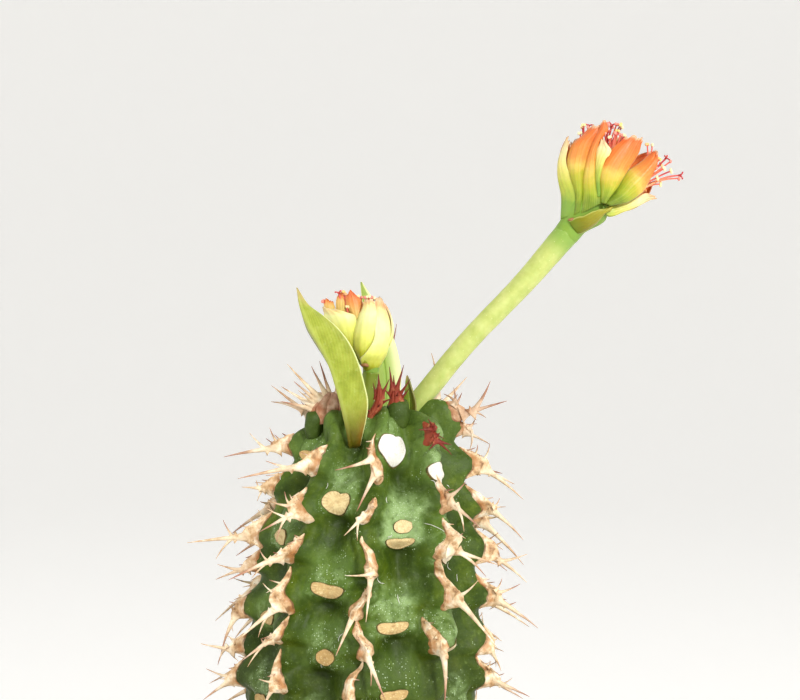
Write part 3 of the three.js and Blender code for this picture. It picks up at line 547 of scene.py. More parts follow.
def stem_point(around, run, lift=0.0):
    """Point of the stem's skin, raised by a lift, at a place around it in ribs from the front."""
    around, run = alike(around, run)
    radius, depth = outline_at(run)
    radius_after, depth_after = outline_at(run + 0.05)
    radius_before, depth_before = outline_at(run - 0.05)
    out = unit(np.stack([depth_after - depth_before, radius_before - radius_after], -1))
    rise = relief(around, run)[0] + lift
    reach = np.maximum(0, radius + rise * out[..., 0])
    height = APEX_HEIGHT - depth - rise * out[..., 1]
    angle = place_angle(around)
    return points_at(axis_x(height) + reach * np.cos(angle), reach * np.sin(angle), height)


SKIN_COLUMNS = 37 * RIBS
SKIN_ROW = 0.4
SKIN_FOOT = 76  # height where the skin ends, in the hole of the soil
SKIN_PLAIN_BELOW = 78  # height where its lumps end


def lumps(points, under):
    """Small unevenness of the skin, with wrinkles across under each scar."""
    fade = smooth((points[..., 2] - SKIN_PLAIN_BELOW) / 4)
    wrinkles = noise(points * (1, 1, 2.6), 2.1, 3)
    return fade * (0.38 * noise(points, 4.4, 1) + 0.17 * noise(points, 2.1, 2) + 0.05 * noise(points, 0.9, 4)
                   + wrinkles * (0.05 + 0.10 * under))


def skin_point(around, run, lift=0.0):
    """Point on the lumpy skin, raised by a lift."""
    points = stem_point(around, run)
    under = relief(*alike(around, run))[1]["under"]
    return stem_point(around, run, lumps(points, under) + lift)


def crest_of(rib, run):
    """Place around the stem of a rib's crest, which sways between the swellings."""
    run = np.atleast_1d(np.asarray(run, float))
    place = np.full(run.shape, float(rib))
    for _ in range(3):
        place = rib + relief(place, run)[1]["shift"]
    return place


def make_stem():
    runs = np.concatenate([np.arange(0.5, run_at_height(SOIL_LEVEL - 1), SKIN_ROW),
                           run_at_height(np.array([SKIN_PLAIN_BELOW, SKIN_FOOT], float))])
    places = np.arange(SKIN_COLUMNS) * RIBS / SKIN_COLUMNS
    run, around = np.meshgrid(runs, places, indexing="ij")
    parts = relief(around, run)[1]
    skin = skin_point(around, run)
    points, faces = closed_rings(skin)
    form = Form("deep", "bulge", "under", "bloom")
    values = {name: np.append(parts[name].ravel(), (parts[name][0].mean(), 0)) for name in form.values}
    form.add(points, faces, **values)
    material = stem_material()
    add_piece("stem_skin", form, material, "stem", "stem")
    return material


# Heights between which the skin turns to the light green of the crown, to the dark green below it,
# and from bark to skin, and how far the bark's upper edge goes up and down
YOUNG_SKIN = (158, 180)
DARKER_BELOW = (152, 130)
BARK = (93, 108)
BARK_UNEVEN = 22


def stem_material():
    m = Shader("stem_skin", specular=0.2)
    deep, bulge, under = m.value("deep"), m.value("bulge"), m.value("under")
    fine = m.noise(1.1, 4, 0.6)
    green = m.ramp(m.noise(4.2, 5, 0.62), (0.27, (0.018, 0.036, 0.001)), (0.46, (0.035, 0.067, 0.002)),
                   (0.60, (0.064, 0.104, 0.003)), (0.74, (0.128, 0.172, 0.014)))
    # Painted light: the swellings lighter green, where they face the light
    green = m.mix(m.span(bulge, 0.0, 0.6, 0, 0.6), green, (0.105, 0.185, 0.030))
    green = m.mix(m.by_height(*YOUNG_SKIN, 0, 0.35), green, (0.125, 0.205, 0.042))
    # Darker green towards the bottom
    green = m.mix(m.by_height(*DARKER_BELOW, 0, 0.6), green, (0.026, 0.044, 0.002))
    # Painted light: pale patches on the slope above each scar, from the value bloom, made uneven
    uneven = m.plus(m.value("bloom"), m.span(m.noise(1.9, 5, 0.65), 0.3, 0.7, -0.30, 0.24))
    bloom = m.times(m.span(uneven, 0.25, 1.05), m.span(m.noise(4.4, 3), 0.34, 0.60, 0.35, 1))
    green = m.mix(m.times(bloom, 0.80), green, (0.305, 0.440, 0.180))
    green = m.mix(m.span(fine, 0.54, 0.78, 0, 0.35), green, (0.210, 0.300, 0.075))
    green = m.mix(m.span(fine, 0.46, 0.26, 0, 0.5), green, (0.020, 0.040, 0.001))
    # Painted shade: darker green in the valleys and in the hollow under each swelling
    painted_shade = m.plus(m.span(deep, 0.35, 1.0, 0, 0.55), m.times(under, 0.45))
    green = m.mix(m.math("MINIMUM", painted_shade, 0.85), green, (0.018, 0.034, 0.001))
    spots, tones = m.cells(0.34)
    chance = m.add("SeparateXYZ", {0: tones}).outputs[0]
    wide = m.plus(m.span(bulge, 0.1, 0.9, -0.05, 0.16), m.noise(2.2, 4, 0.6))
    patch = m.span(wide, 0.50, 0.66, 0.04, 1)
    dots = m.math("LESS_THAN", spots, m.span(chance, 0.25, 1, 0.01, 0.33))
    speckle = m.times(dots, patch)
    tiny, _ = m.cells(0.24)
    haze = m.times(m.span(tiny, 0.12, 0.42, 1, 0), m.times(patch, bloom))
    green = m.mix(m.times(speckle, 0.72), green, (0.56, 0.70, 0.44))
    green = m.mix(m.times(haze, 0.55), green, (0.50, 0.62, 0.42))
    bark = m.by_height(*BARK, 1, 0, uneven=m.times(m.noise(6, 4), BARK_UNEVEN * MM))
    brown = m.ramp(m.noise(1.6, 5, 0.7), (0.3, (0.12, 0.075, 0.038)), (0.7, (0.34, 0.24, 0.14)))
    colour = m.mix(bark, green, brown)
    rough = m.plus(m.span(fine, 0.25, 0.75, 0.42, 0.58), m.times(bark, 0.3))
    return m.finish(colour, rough, ((m.noise(0.8, 4, 0.6), 0.14), (speckle, 0.06)))


# Leaf scars

# Front scars: column, order, place round the stem in ribs, height, half width, half height, shape,
# turn in degrees, tone from 0 tan to 1 white
FRONT_SCARS = (
    (0, 0, 0.31, 173.25, 2.25, 2.95, "heart", 0, 1.0),
    (0, 1, 0.49, 160.7, 1.55, 1.15, "round", 0, 0.62),
    (0, 1, 0.46, 158.3, 2.2, 1.25, "half", 0, 0.55),
    (0, 2, 0.405, 144.6, 2.6, 1.55, "half", 0, 0.42),
    (0, 3, 0.46, 133.4, 2.2, 1.4, "half", 4, 0.3),
    (8, 1, -0.545, 164.7, 2.1, 2.15, "heart", -4, 0.6),
    (8, 2, -0.485, 150.6, 2.75, 1.65, "half", -9, 0.35),
    (8, 3, -0.435, 139.3, 1.6, 1.35, "round", 0, 0.2),
    (1, 0, 1.05, 168.9, 1.9, 1.95, "heart", 12, 0.95),
    (1, 1, 1.08, 155.2, 1.6, 1.2, "round", 0, 0.8),
    (1, 2, 1.06, 141.2, 1.8, 0.95, "half", 38, 0.7),
)
LOWEST_SEEN_SCAR = 95
# Ruled scars are old below this height, and turn young by degrees above it
OLD_SCAR = 128
SCAR_CHANGE = 40
SCAR_TURNS = 30
SCAR_RINGS = (0.0, 0.2, 0.4, 0.6, 0.78, 0.9, 0.97, 1.03, 1.1, 1.2)


def scar_edge(shape, turn):
    """Reach of a scar's edge in each direction, as shares of its half width and half height."""
    x, y = np.cos(turn), np.sin(turn)
    if shape == "half":
        top = np.where(y > 0, 0.40 - 0.10 * np.exp(-(x / 0.2) ** 2) + 0.3 * np.abs(x) ** 3, 1.0)
        return x, y * top
    if shape == "heart":
        notch = np.where(y > 0, 0.78 - 0.13 * np.exp(-((x - 0.12) / 0.2) ** 2) + 0.2 * np.abs(x) ** 2, 1.0)
        square = np.where(y > 0, (x**4 + y**4) ** -0.14, 1.0)
        return x * square * (1 - 0.08 * np.maximum(0, -y)), y * notch * square
    return x, y


def all_scar_rows():
    """Rows of FRONT_SCARS from the place on, and such rows by the rule for the other scars."""
    chosen = [row[2:] for row in FRONT_SCARS]
    placed = {row[:2] for row in FRONT_SCARS}
    for column, order, place, height in SCARS:
        if (column, order) in placed or height > HIGHEST_SCAR:
            continue
        seed = 17 * column + 5 * order
        young = float(smooth((height - OLD_SCAR) / SCAR_CHANGE))
        shape = "round" if draw(seed) < 0.25 + 0.5 * young else ("half" if draw(seed + 2) < 0.7 else "heart")
        chosen.append((place + 0.05 * (draw(seed + 3) - 0.5), height + 0.4 * draw(seed + 4),
                       1.5 + 0.9 * draw(seed + 5), 1.0 + 0.6 * draw(seed + 6), shape,
                       24 * (draw(seed + 7) - 0.5), 0.15 + 0.75 * young * draw(seed + 8)))
    return chosen


def make_scars():
    form = Form("tone", "share", "turn", "seed")
    turn = turns(SCAR_TURNS)
    for k, (place, height, wide, tall, shape, twist, tone) in enumerate(all_scar_rows()):
        if height < LOWEST_SEEN_SCAR:
            continue
        edge_x, edge_y = scar_edge(shape, turn)
        ragged = 1 + 0.05 * noise(circle(1, turn, k) * 1.4, 0.6, k % 7)
        share = np.array(SCAR_RINGS)[:, None]
        x = share * edge_x * ragged * wide
        y = share * edge_y * ragged * tall
        twist = math.radians(twist)
        x, y = x * math.cos(twist) - y * math.sin(twist), x * math.sin(twist) + y * math.cos(twist)
        run = float(run_at_height(height)) - y
        radius = float(outline_at(run_at_height(height))[0])
        around = place + x * RIBS / (2 * math.pi * (radius - 2.5))
        spot = points_at(x, y, 3 * k)
        lift = (0.16 + 0.12 * np.exp(-((share - 0.96) / 0.06) ** 2) + 0.10 * smooth(1 - share)
                + 0.05 * noise(spot, 0.8, 5) - 1.6 * smooth((share - 1.03) / 0.17))
        points = skin_point(around, run, lift)
        centre = points[0].mean(0)
        rings = np.concatenate([points[1:].reshape(-1, 3), centre[None]])
        count = len(SCAR_RINGS) - 1
        faces = grid_faces(count, SCAR_TURNS, closed=True)
        faces += [[count * SCAR_TURNS, (j + 1) % SCAR_TURNS, j] for j in range(SCAR_TURNS)]
        faces.append(list(range((count - 1) * SCAR_TURNS, count * SCAR_TURNS)))
        shares = np.append(np.repeat(SCAR_RINGS[1:], SCAR_TURNS), 0)
        form.add(rings, faces, tone=tone, share=shares, seed=draw(k + 50),
                 turn=np.append(np.tile(turn, count), 0))
    material = scar_material()
    add_piece("leaf_scars", form, material, "stem")
    make_fibres(material)


FIBRES = 60
LOWEST_FIBRE = 120
FIBRE_SPREAD = 54  # they lie up to this far above the lowest
FIBRE_RADIUS = 0.045


def make_fibres(material):
    """Short loose plant hairs that lie on the skin."""
    form = Form("tone", "share", "turn", "seed")
    for k in range(FIBRES):
        place = RIBS * draw(3.1 * k + 1)
        height = LOWEST_FIBRE + FIBRE_SPREAD * draw(1.7 * k + 2)
        heading = 2 * math.pi * draw(2.3 * k + 3)
        length = 0.7 + 2.0 * draw(k + 4) ** 2
        u = np.linspace(-0.5, 0.5, 12)
        bend = heading + (1.6 * draw(k + 5) - 0.8) * u
        run = float(run_at_height(height)) + length * u * np.sin(bend)
        around = place + length * u * np.cos(bend) / 12
        path = skin_point(around, run, 0.07 + 0.25 * draw(k + 6) * (2 * u) ** 2)
        form.add(*tube(path, FIBRE_RADIUS * (1.15 - (2 * u) ** 4), 6), tone=1.0, share=0.5, seed=0.5)
    add_piece("fibres", form, material, "stem")


def scar_material():
    m = Shader("leaf_scars", specular=0.25)
    share, tone, turn = m.value("share"), m.value("tone"), m.value("turn")
    grain = m.noise(0.35, 4, 0.65)
    pale = m.ramp(tone, (0.2, (0.48, 0.31, 0.11)), (0.6, (0.66, 0.53, 0.27)), (1.0, (0.76, 0.75, 0.70)))
    old = m.span(tone, 1.0, 0.4, 0.12, 0.8)
    stain = m.times(m.span(m.noise(0.8, 4, 0.6), 0.46, 0.62), old)
    pale = m.mix(m.times(stain, 0.7), pale, (0.46, 0.29, 0.11))
    pale = m.mix(m.times(m.span(grain, 0.52, 0.7), old), pale, (0.80, 0.68, 0.38))
    spoke = m.math("SINE", m.plus(m.times(turn, 21), m.times(grain, 5)))
    spoke = m.times(m.span(spoke, 0.3, 0.9), m.span(share, 0.45, 0.85))
    pale = m.mix(m.times(m.times(spoke, old), 0.55), pale, (0.34, 0.19, 0.07))
    fissure = m.math("ABSOLUTE", m.math("SUBTRACT", m.noise(1.1, 3, 0.6), 0.5))
    pale = m.mix(m.times(m.span(fissure, 0.014, 0.0), 0.45), pale, (0.30, 0.22, 0.12))
    middle = m.times(m.span(share, 0.26, 0.05), old)
    pale = m.mix(m.times(middle, 0.6), pale, (0.30, 0.15, 0.05))
    rim = m.mix(m.span(m.noise(0.9, 2), 0.4, 0.6), (0.16, 0.11, 0.03), (0.05, 0.05, 0.010))
    colour = m.mix(m.span(share, 0.955, 1.0), pale, rim)
    return m.finish(colour, m.span(grain, 0.3, 0.7, 0.55, 0.75), ((grain, 0.08),))


# Combs: corky shields along the rib crests, each with a row of forked spines

# Front combs: rib counted from the front one, heights of the shield's top and foot, youth, and the
# spines' tips from the highest to the lowest
FRONT_COMBS = (
    (0, 174.9, 168.1, 0.25, [(-2.3, -19.2, 170.1), (1.2, -20.6, 163.6)]),
    (0, 165.1, 161.4, 0.1, [(4, -21.1, 164.5), (-0.8, -22.5, 159.9), (1.3, -21.1, 158.9)]),
    (0, 158.9, 152.7, 0.1, [(-0.7, -22.5, 153.5), (2.7, -23.9, 146.2)]),
    (0, 151.4, 146.1, 0, [(-2.1, -24.6, 140.9)]),
    (0, 145.5, 139.6, 0, [(1.3, -23.6, 143.9), (3.5, -23.6, 135.8), (5.8, -25, 133.9)]),
    (0, 138.7, 132.5, 0, [(3.4, -23.8, 128.3), (0.3, -25.2, 127.8)]),
    ((0.9, 0.9), 176.8, 173.4, 1, [(11.2, -13.3, 176.1), (12.8, -13.3, 177.9), (13.8, -13.2, 177.3),
                                     (14.7, -13.2, 175.5), (16.6, -13.1, 173.6), (16.7, -13.3, 171.9),
                                     (12.9, -13.9, 172.9)]),
    (1, 168, 162.6, 0.3, [(18.9, -16.3, 167.9), (21.1, -17.8, 160.5), (18.6, -16.1, 159.6)]),
    (1, 161.3, 155.4, 0.1, [(23.9, -20.6, 154.9), (22.1, -19.4, 152.8)]),
    (1, 155.3, 147.3, 0, [(20.8, -19.3, 152.2), (23.8, -21.3, 141.6)]),
    ((0.82, 0.9), 145.4, 140.1, 0, [(14.8, -17.7, 142.3), (15.4, -17.7, 131.6)]),
    (2, 179.5, 176.2, 0.45, [(23.4, -3, 183.4), (17.2, -2.5, 182.3), (18.6, -2.6, 181.4),
                             (15.5, -2.4, 181.2), (26.3, -3.2, 180.1), (22.7, -2.9, 177.2)]),
    (2, 175.9, 174.1, 0.4, [(20.9, -2.9, 177.1), (23.4, -3.1, 172.7), (19.9, -2.9, 171.7)]),
    (2, 172.1, 167.5, 0.1, [(23.3, -3.5, 172.8), (21.3, -3.3, 172.7), (27.5, -3.8, 166), (29, -3.9, 163.4)]),
    (2, 165.9, 160.5, 0.1, [(25, -3.9, 163.7), (29, -4.2, 156.6)]),
    (2, 158.2, 153, 0.2, [(25.5, -4.2, 156.4), (29.7, -4.5, 154.3), (29.6, -4.4, 149.4)]),
    (2, 150.8, 145.3, 0.1, [(25.4, -4.3, 150.1), (28.5, -4.5, 149.2), (27.8, -4.5, 146.1),
                            (31.5, -4.7, 141.7)]),
    (2, 141.8, 137.5, 0, [(24.6, -4.3, 139.8), (24.4, -4.3, 135), (25.3, -4.4, 134.3)]),
    (2, 137, 131.4, 0, [(23.4, -4.3, 136.1), (27.2, -4.6, 133.2), (30.1, -4.8, 130)]),
    (-1, 173.1, 168.6, 0.1, [(-13.8, -15.3, 171.2), (-18.2, -17.5, 168.5)]),
    (-1, 166.2, 161.2, 0, [(-10.7, -15.1, 166.1), (-13.5, -15.8, 164.7), (-13.7, -15.9, 163.5),
                           (-14.7, -16.3, 159.7), (-12.1, -15.1, 157.8)]),
    (-1, 158.9, 154.4, 0.1, [(-7.8, -15.9, 158.4), (-14.7, -16.6, 156.7), (-19.6, -18.9, 152.2),
                             (-16, -17.2, 152.2)]),
    (-1, 153.2, 146.5, 0, [(-14.2, -16.6, 151.3), (-15, -16.8, 142.4), (-18.5, -18.5, 142)]),
    (-1, 145.5, 141.1, 0, [(-14.5, -16.8, 142.2), (-17.6, -18, 138.8), (-16.7, -17.6, 137.7)]),
    (-1, 139.6, 133.4, 0, [(-12.2, -17, 136.4), (-14.9, -17, 135.6), (-14.4, -17, 130.2)]),
    (-2, 173.7, 170.8, 0.2, [(-13.9, -2.3, 175.5), (-17.3, -2.5, 174.6), (-21.7, -2.7, 170.5)]),
    (-2, 167.7, 163.7, 0.1, [(-16.2, -2.6, 166.6), (-18.7, -2.7, 165.4), (-16, -2.6, 163)]),
    (-2, 161, 155.5, 0.1, [(-15.9, -2.7, 161.6), (-21.8, -3, 159.9), (-27.9, -3.3, 156), (-23.1, -3, 153.1)]),
    (-2, 154.8, 151.1, 0.3, [(-22.8, -3.1, 152.3), (-23.1, -3.1, 149.7)]),
    (-2, 147.5, 143.3, 0.1, [(-16.6, -2.8, 147.9), (-20.9, -3, 145.3), (-20.2, -3, 140.8),
                             (-22.3, -3.1, 136.9)]),
    (-2, 140.9, 136.9, 0.1, [(-20.8, -3, 140), (-25.7, -3.3, 138.8), (-19.3, -2.9, 135.7),
                             (-22.8, -3.1, 135)]),
    (-2, 135.9, 131.4, 0, [(-20, -3, 135.3), (-24.8, -3.2, 134.5), (-25.3, -3.2, 129.1)]),
)
# Crown combs: place round the stem in ribs, runs of the shield's top and foot, youth, tips
CROWN_COMBS = (
    (-2.1, 8.5, 14, 0.35, [(-13.6, -2, 182.6), (-13.9, 1.5, 179.6)]),
    (3.2, 8.5, 13.5, 0.3, [(13.6, 8.5, 187.6), (20, 14, 183)]),
    (4.6, 7, 11, 0.5, [(7.6, 10.5, 192.6), (4, 19, 184)]),
    (-3.2, 8, 13, 0.5, [(-6, 12, 186), (-9, 13.5, 180)]),
)
# Young swellings of the crown: centre, radii, and how much painted shade darkens their green
KNOBS = (
    ((7.8, -7.4, 177.9), (2.1, 2.1, 2.9), 0.9),
    ((-6.4, -3.4, 175.9), (1.6, 1.7, 2.7), 0.9),
    ((-2.7, -6.5, 175.6), (1.9, 2, 3.4), 0.3),
)
# Webs of young combs: youth, rows from the foot up, each with the left and the right point of the
# edge, and the spines as root, tip and thickness
WEBS = (
    (0.95,
     ((2.3, -9, 175.8, 3.6, -9, 176.2), (2.6, -9.3, 177.8, 3.9, -9.3, 178.1),
      (3.3, -9.4, 179, 5.0, -9.3, 179.4), (4.0, -9.4, 180.4, 5.3, -9.3, 180.8),
      (4.3, -9.4, 181.8, 5.2, -9.4, 182), (4.5, -9.4, 183, 4.9, -9.4, 183)),
     (((4.7, -9.4, 182.6), (4.6, -9.6, 185.1), 0.45), ((5.2, -9.4, 181.6), (6.4, -9.8, 184.2), 0.4),
      ((4.2, -9.4, 181.4), (3.7, -9.9, 183.6), 0.32), ((3.5, -9.4, 178.6), (1.9, -10.2, 179.6), 0.3),
      ((5.3, -9.4, 180.3), (6.9, -10.4, 181.1), 0.28), ((4.4, -9.5, 179.4), (4.9, -11.2, 180.2), 0.26))),
    (1.0,
     ((6.2, -8, 179.2, 9, -7.9, 179.2), (6.4, -8.1, 180.4, 8.8, -8.1, 180.4),
      (6.6, -8.2, 181, 8.5, -8.2, 181.1), (6.7, -8.2, 181.7, 8.2, -8.2, 181.7),
      (6.9, -8.2, 182.2, 7.9, -8.2, 182.2)),
     (((6.9, -8.2, 182.3), (6.4, -8.6, 186.2), 0.46), ((7.6, -8.2, 182.3), (8.8, -8.7, 186.5), 0.46),
      ((7.2, -8.2, 182.6), (7.1, -8.9, 184.8), 0.34), ((8.2, -8.2, 181.6), (9.9, -9, 184.2), 0.36),
      ((8.4, -8.1, 180.9), (9.8, -9.2, 182.7), 0.3), ((6.6, -8.3, 181.4), (5.4, -9.2, 182.6), 0.3),
      ((7.6, -8.4, 181.2), (7.9, -10.3, 182.1), 0.28))),
    (0.55,
     ((-6.6, -3.3, 176, -1.4, -5.6, 176.6), (-7, -3.6, 178.5, -1.5, -5.2, 178.8),
      (-6.6, -3.7, 179.5, -1.5, -4.8, 179.9), (-5.5, -3.7, 180.6, -1.6, -4.6, 181),
      (-4.4, -3.7, 181.4, -2.2, -4.3, 181.7)),
     (((-5.3, -3.8, 180.5), (-10.8, -5.5, 186.5), 0.62), ((-4.2, -4, 181.1), (-6.7, -5.6, 186.1), 0.58),
      ((-5.8, -3.8, 180.1), (-9.6, -6.2, 183.6), 0.52), ((-6.2, -3.8, 179.7), (-8.8, -7, 182.1), 0.42),
      ((-6.5, -3.7, 179.3), (-11.8, -4.6, 182.6), 0.6), ((-6.7, -3.6, 178.8), (-12, -4, 180.1), 0.55),
      ((-3.6, -4, 181.3), (-4.3, -5.4, 183.9), 0.36), ((-2.6, -4.3, 181.3), (-2.6, -5.6, 183), 0.3))),
)
COMB_DROP = 1.4  # a ruled comb starts this far below its scar's middle
HIGHEST_RULED_COMB = 172.5
HIGHEST_RULED_FRONT_COMB = 129
OUTERMOST_FRONT_RIB = 2


def ruled_combs():
    """Combs that follow the rule: column and order of their scar, its side, the rib, their height."""
    combs = []
    for column, order, _, scar_height in SCARS:
        height = scar_height - COMB_DROP
        for side in (-1, 1):
            rib = column + (side + 1) // 2
            rib -= RIBS if rib > RIBS / 2 else 0
            highest = HIGHEST_RULED_FRONT_COMB if abs(rib) <= OUTERMOST_FRONT_RIB else HIGHEST_RULED_COMB
            if height <= highest:
                combs.append((column, order, side, rib, height))
    return combs


RULED_COMBS = ruled_combs()
COMB_FEET = [(round(float(np.mean(comb[0]))), comb[2]) for comb in FRONT_COMBS]
COMB_FEET += [(rib, height - SHIELD_LENGTH) for _, _, _, rib, height in RULED_COMBS]
LOBES = {rib: np.array([foot for other, foot in COMB_FEET if other == rib]) for rib, _ in COMB_FEET}
COMB_ROW = 0.19  # between two rows of a fin's points
COMB_HEEL = 0.72  # where the main spine leaves the fin, from its top to its foot
HIGHEST_FIN = 2.9
LOWEST_SECOND_SPINE = 108
LOWEST_THIRD_SPINE = 138
# Ruled combs turn young above one height and smaller below another, each by degrees
YOUNG_COMB = 158
OLD_COMB = 112
COMB_CHANGE = 14
# Half section of a comb's fin, from its edge to its crest: share of its half width and of its height
HALF_FIN = ((1, 0), (0.97, 0), (0.7, 0.06), (0.5, 0.2), (0.36, 0.48), (0.26, 0.8), (0.13, 0.97), (0, 1))
FIN_SECTION = np.array([(-x, y) for x, y in HALF_FIN] + list(HALF_FIN[-2::-1]))
FIN_LOWER = [13, 7, 1]  # the points of the section that the lower side lies under


def add_spine(form, path, crest, thick, web, youth, seed, sides=9):
    """Tapering spine along a path, with a web along the crest at its foot."""
    u = np.linspace(0, 1, len(path))
    length = float(np.linalg.norm(np.diff(path, axis=0), axis=1).sum())
    narrow = thick * (1 - u) ** 0.85 * (1 - 0.2 * u) + 0.035
    foot = np.exp(-((u * length / (0.5 + 0.10 * length)) ** 1.3))
    points, faces = tube(path, narrow, sides, crest, narrow + web * foot)
    points = points + (0.05 * thick * noise(points, 0.8, 8))[:, None]
    form.add(points, faces, tip=ring_values(u, sides, (0, 1)), reach=0.8, rim=0, youth=youth,
             seed=draw(seed + 3), fin=0)


def add_fin(form, place, run, share, rise, lean, out, youth, seed):
    """A comb's corky fin, with its lower side in the skin. share runs from its top to its foot."""
    inside = np.clip(share, 0, 1)
    half = 0.30 + 0.36 * smooth(inside / 0.35) + 0.34 * smooth((inside - 0.45) / 0.4)
    half = half * (1.02 + 0.36 * draw(seed)) * (1 - 0.62 * youth)
    half = half * np.sqrt(np.clip((share + 0.055) / 0.14, 0.01, 1))
    half = half * np.sqrt(np.clip((1.105 - share) / 0.12, 0.01, 1))
    across, up = FIN_SECTION.T
    ragged = noise(points_at(share[:, None] * 8, np.sign(across), seed), 1, 3)
    x = half[:, None] * across * (1 + 0.16 * ragged * (np.abs(across) > 0.6))
    radius = np.maximum(4, outline_at(run)[0])[:, None]
    around = place[:, None] + x * RIBS / (2 * math.pi * radius)
    edge = np.where(np.abs(across) > 0.99, -0.4, np.where(np.abs(across) > 0.9, 0.10, 0.22))
    skin = skin_point(around, run[:, None], edge + 0 * x)
    upper = skin + lean[:, None] * (rise[:, None] * up)[..., None]
    rough = 0.09 * noise(upper, 0.9, 6) + 0.05 * noise(upper, 0.4, 7)
    upper = upper + out[:, None] * (rough * (np.abs(across) < 0.9))[..., None]
    lower = skin_point(around[:, FIN_LOWER], run[:, None], -0.8)
    points, faces = closed_rings(np.concatenate([upper, lower], 1))
    reach = np.append(up, [0] * len(FIN_LOWER))
    rim = np.append(np.abs(across) > 0.9, [1] * len(FIN_LOWER))
    rows = len(share)
    form.add(points, faces, tip=0, reach=np.append(np.tile(reach, rows), (0, 0)),
             rim=np.append(np.tile(rim, rows), (1, 1)), youth=youth, seed=draw(seed + 3), fin=1)


def add_forks(form, tips, roots, lead, crest, youth, seed):
    """A comb's other spines, each from the root nearest to its tip."""
    stout = 1 + 1.1 * youth
    for k, tip in tips:
        gap = np.linalg.norm(roots - tip, axis=1)
        near = int(np.argmin(gap))
        length = float(gap[near])
        aim = unit(tip - roots[near])
        start = roots[near] - aim * min(0.6, 0.3 * length)
        side = unit(crest - aim * (crest @ aim) * 0.98)
        add_spine(form, bent(start, lead, tip, 14), side, min(0.5, 0.15 + 0.045 * length) * stout,
                  min(0.7, 0.1 + 0.07 * length) * stout, youth, seed + 7 * k, 8)


def add_prickles(form, edge, lean, out, crest, youth, seed):
    """One to four short spines along a fin's edge."""
    for k in range(1 + int(3.4 * draw(seed + 5))):
        row = int((0.12 + 0.55 * draw(seed + 11 * k)) * len(edge))
        aside = unit(np.cross(crest, out[row])) * 1.7 * (draw(seed + 11 * k + 2) - 0.5)
        aim = unit(lean[row] + aside + crest * 1.2 * (draw(seed + 11 * k + 3) - 0.4))
        start = edge[row] - aim * 0.25
        tip = start + aim * (1.0 + 1.5 * draw(seed + 11 * k + 4))
        add_spine(form, bent(start, aim, tip, 7), crest, 0.15, 0.12, min(1, youth + 0.45 * draw(seed + k)),
                  seed + k, 6)


def add_comb(shields, spines, rib, top_run, foot_run, youth, tips, seed, on_crest=True):
    """Corky fin along the crest: narrow above, broad and highest near its foot, where it runs out
    into the main spine. The other spines fork off its edge and off the main spine."""
    rows = max(20, int((foot_run - top_run) / COMB_ROW))
    share = np.linspace(-0.05, 1.1, rows)
    run = top_run + share * (foot_run - top_run)
    if on_crest and not isinstance(rib, tuple):
        place = crest_of(rib, run)
    else:
        place = np.interp(share, (0, 1), np.broadcast_to(rib, 2))
    base = skin_point(place, run)
    out = unit(skin_point(place, run, 1.0) - base)
    crest = unit(base[0] - base[-1])
    tips = np.array(tips, float)
    heel = int(COMB_HEEL * rows)
    reach = np.linalg.norm(tips - base[heel], axis=1)
    main = int(np.argmax(reach * (1 + 0.02 * np.arange(len(tips)))))
    lead = unit(tips[main] - base[heel])
    tall = min(HIGHEST_FIN, 0.35 + 0.21 * reach[main])
    lean = unit(out + lead * np.linspace(0.5, 1.2, rows)[:, None])
    rise = tall * (0.2 + 0.8 * smooth(share / 0.78)) * smooth((share + 0.05) / 0.16)
    rise = rise * smooth((1.1 - share) / 0.3) ** 0.8
    jag = 0.25 * noise(points_at(share * 7, seed, 0), 1, 2)
    rise = rise * (1 + jag * smooth(share / 0.3) * smooth((0.75 - share) / 0.1))
    add_fin(shields, place, run, share, rise, lean, out, youth, seed)

    start = base[heel] + out[heel] * 0.1 + lean[heel] * (0.35 * rise[heel])
    path = bent(start, lean[heel], tips[main], 20)
    web = unit(crest - lead * (crest @ lead))
    thick = min(0.72, 0.2 + 0.048 * reach[main])
    add_spine(spines, path, web, thick, min(1.0, 0.25 + 0.1 * reach[main]), youth, seed)
    edge = base + out * 0.2 + lean * (rise * 0.8)[:, None]
    roots = np.concatenate([edge[int(0.2 * rows):int(0.85 * rows)], path[3:8]])
    others = [(k, tip) for k, tip in enumerate(tips) if k != main]
    add_forks(spines, others, roots, lean[heel], crest, youth, seed)
    add_prickles(spines, edge, lean, out, crest, youth, seed)


def add_web(shields, spines, youth, rows, tips, seed):
    """Flat fleshy foot that several young spines stand on."""
    rows = np.array(rows, float)
    left, right = two_curves(rows)
    out = unit(np.cross(rows[0, 3:] - rows[0, :3], rows[-1, :3] - rows[0, :3]))

    def crease(s, v):
        return np.maximum(0, np.cos(8.5 * v * (1 + 0.3 * s) + seed)) ** 2 * smooth((1 - np.abs(v)) / 0.3)

    def surface(s, v):
        here = left(s) + (right(s) - left(s)) * ((v + 1) / 2)[..., None]
        rise = 0.5 * (1 - v**2) + 0.16 * noise(here, 1.0, seed) - 0.42 * crease(s, v)
        return here + out * rise[..., None]

    points, faces, s, v = blade(surface, 40, 41, lambda s, v: 0.75 - 0.35 * s - 0.25 * np.abs(v) ** 3)
    shields.add(points, faces, tip=0.25 * s, reach=s, rim=0.75 * crease(s, v), youth=youth, seed=draw(seed),
                fin=1)
    for k, (root, tip, thick) in enumerate(tips):
        root, tip = np.array(root, float), np.array(tip, float)
        along = unit(tip - root)
        path = bent(root - 0.5 * along, unit(along + 0.4 * out), tip, 16)
        side = unit(np.cross(out, along))
        add_spine(spines, path, side, thick, 1.1 * thick, youth if youth > 0.9 else 0.4 * youth, seed + 3 * k)


def spine_aim(around, aside, up):
    angle = float(place_angle(around)) + math.radians(aside)
    flat = math.cos(math.radians(up))
    return np.array([flat * math.cos(angle), flat * math.sin(angle), math.sin(math.radians(up))])


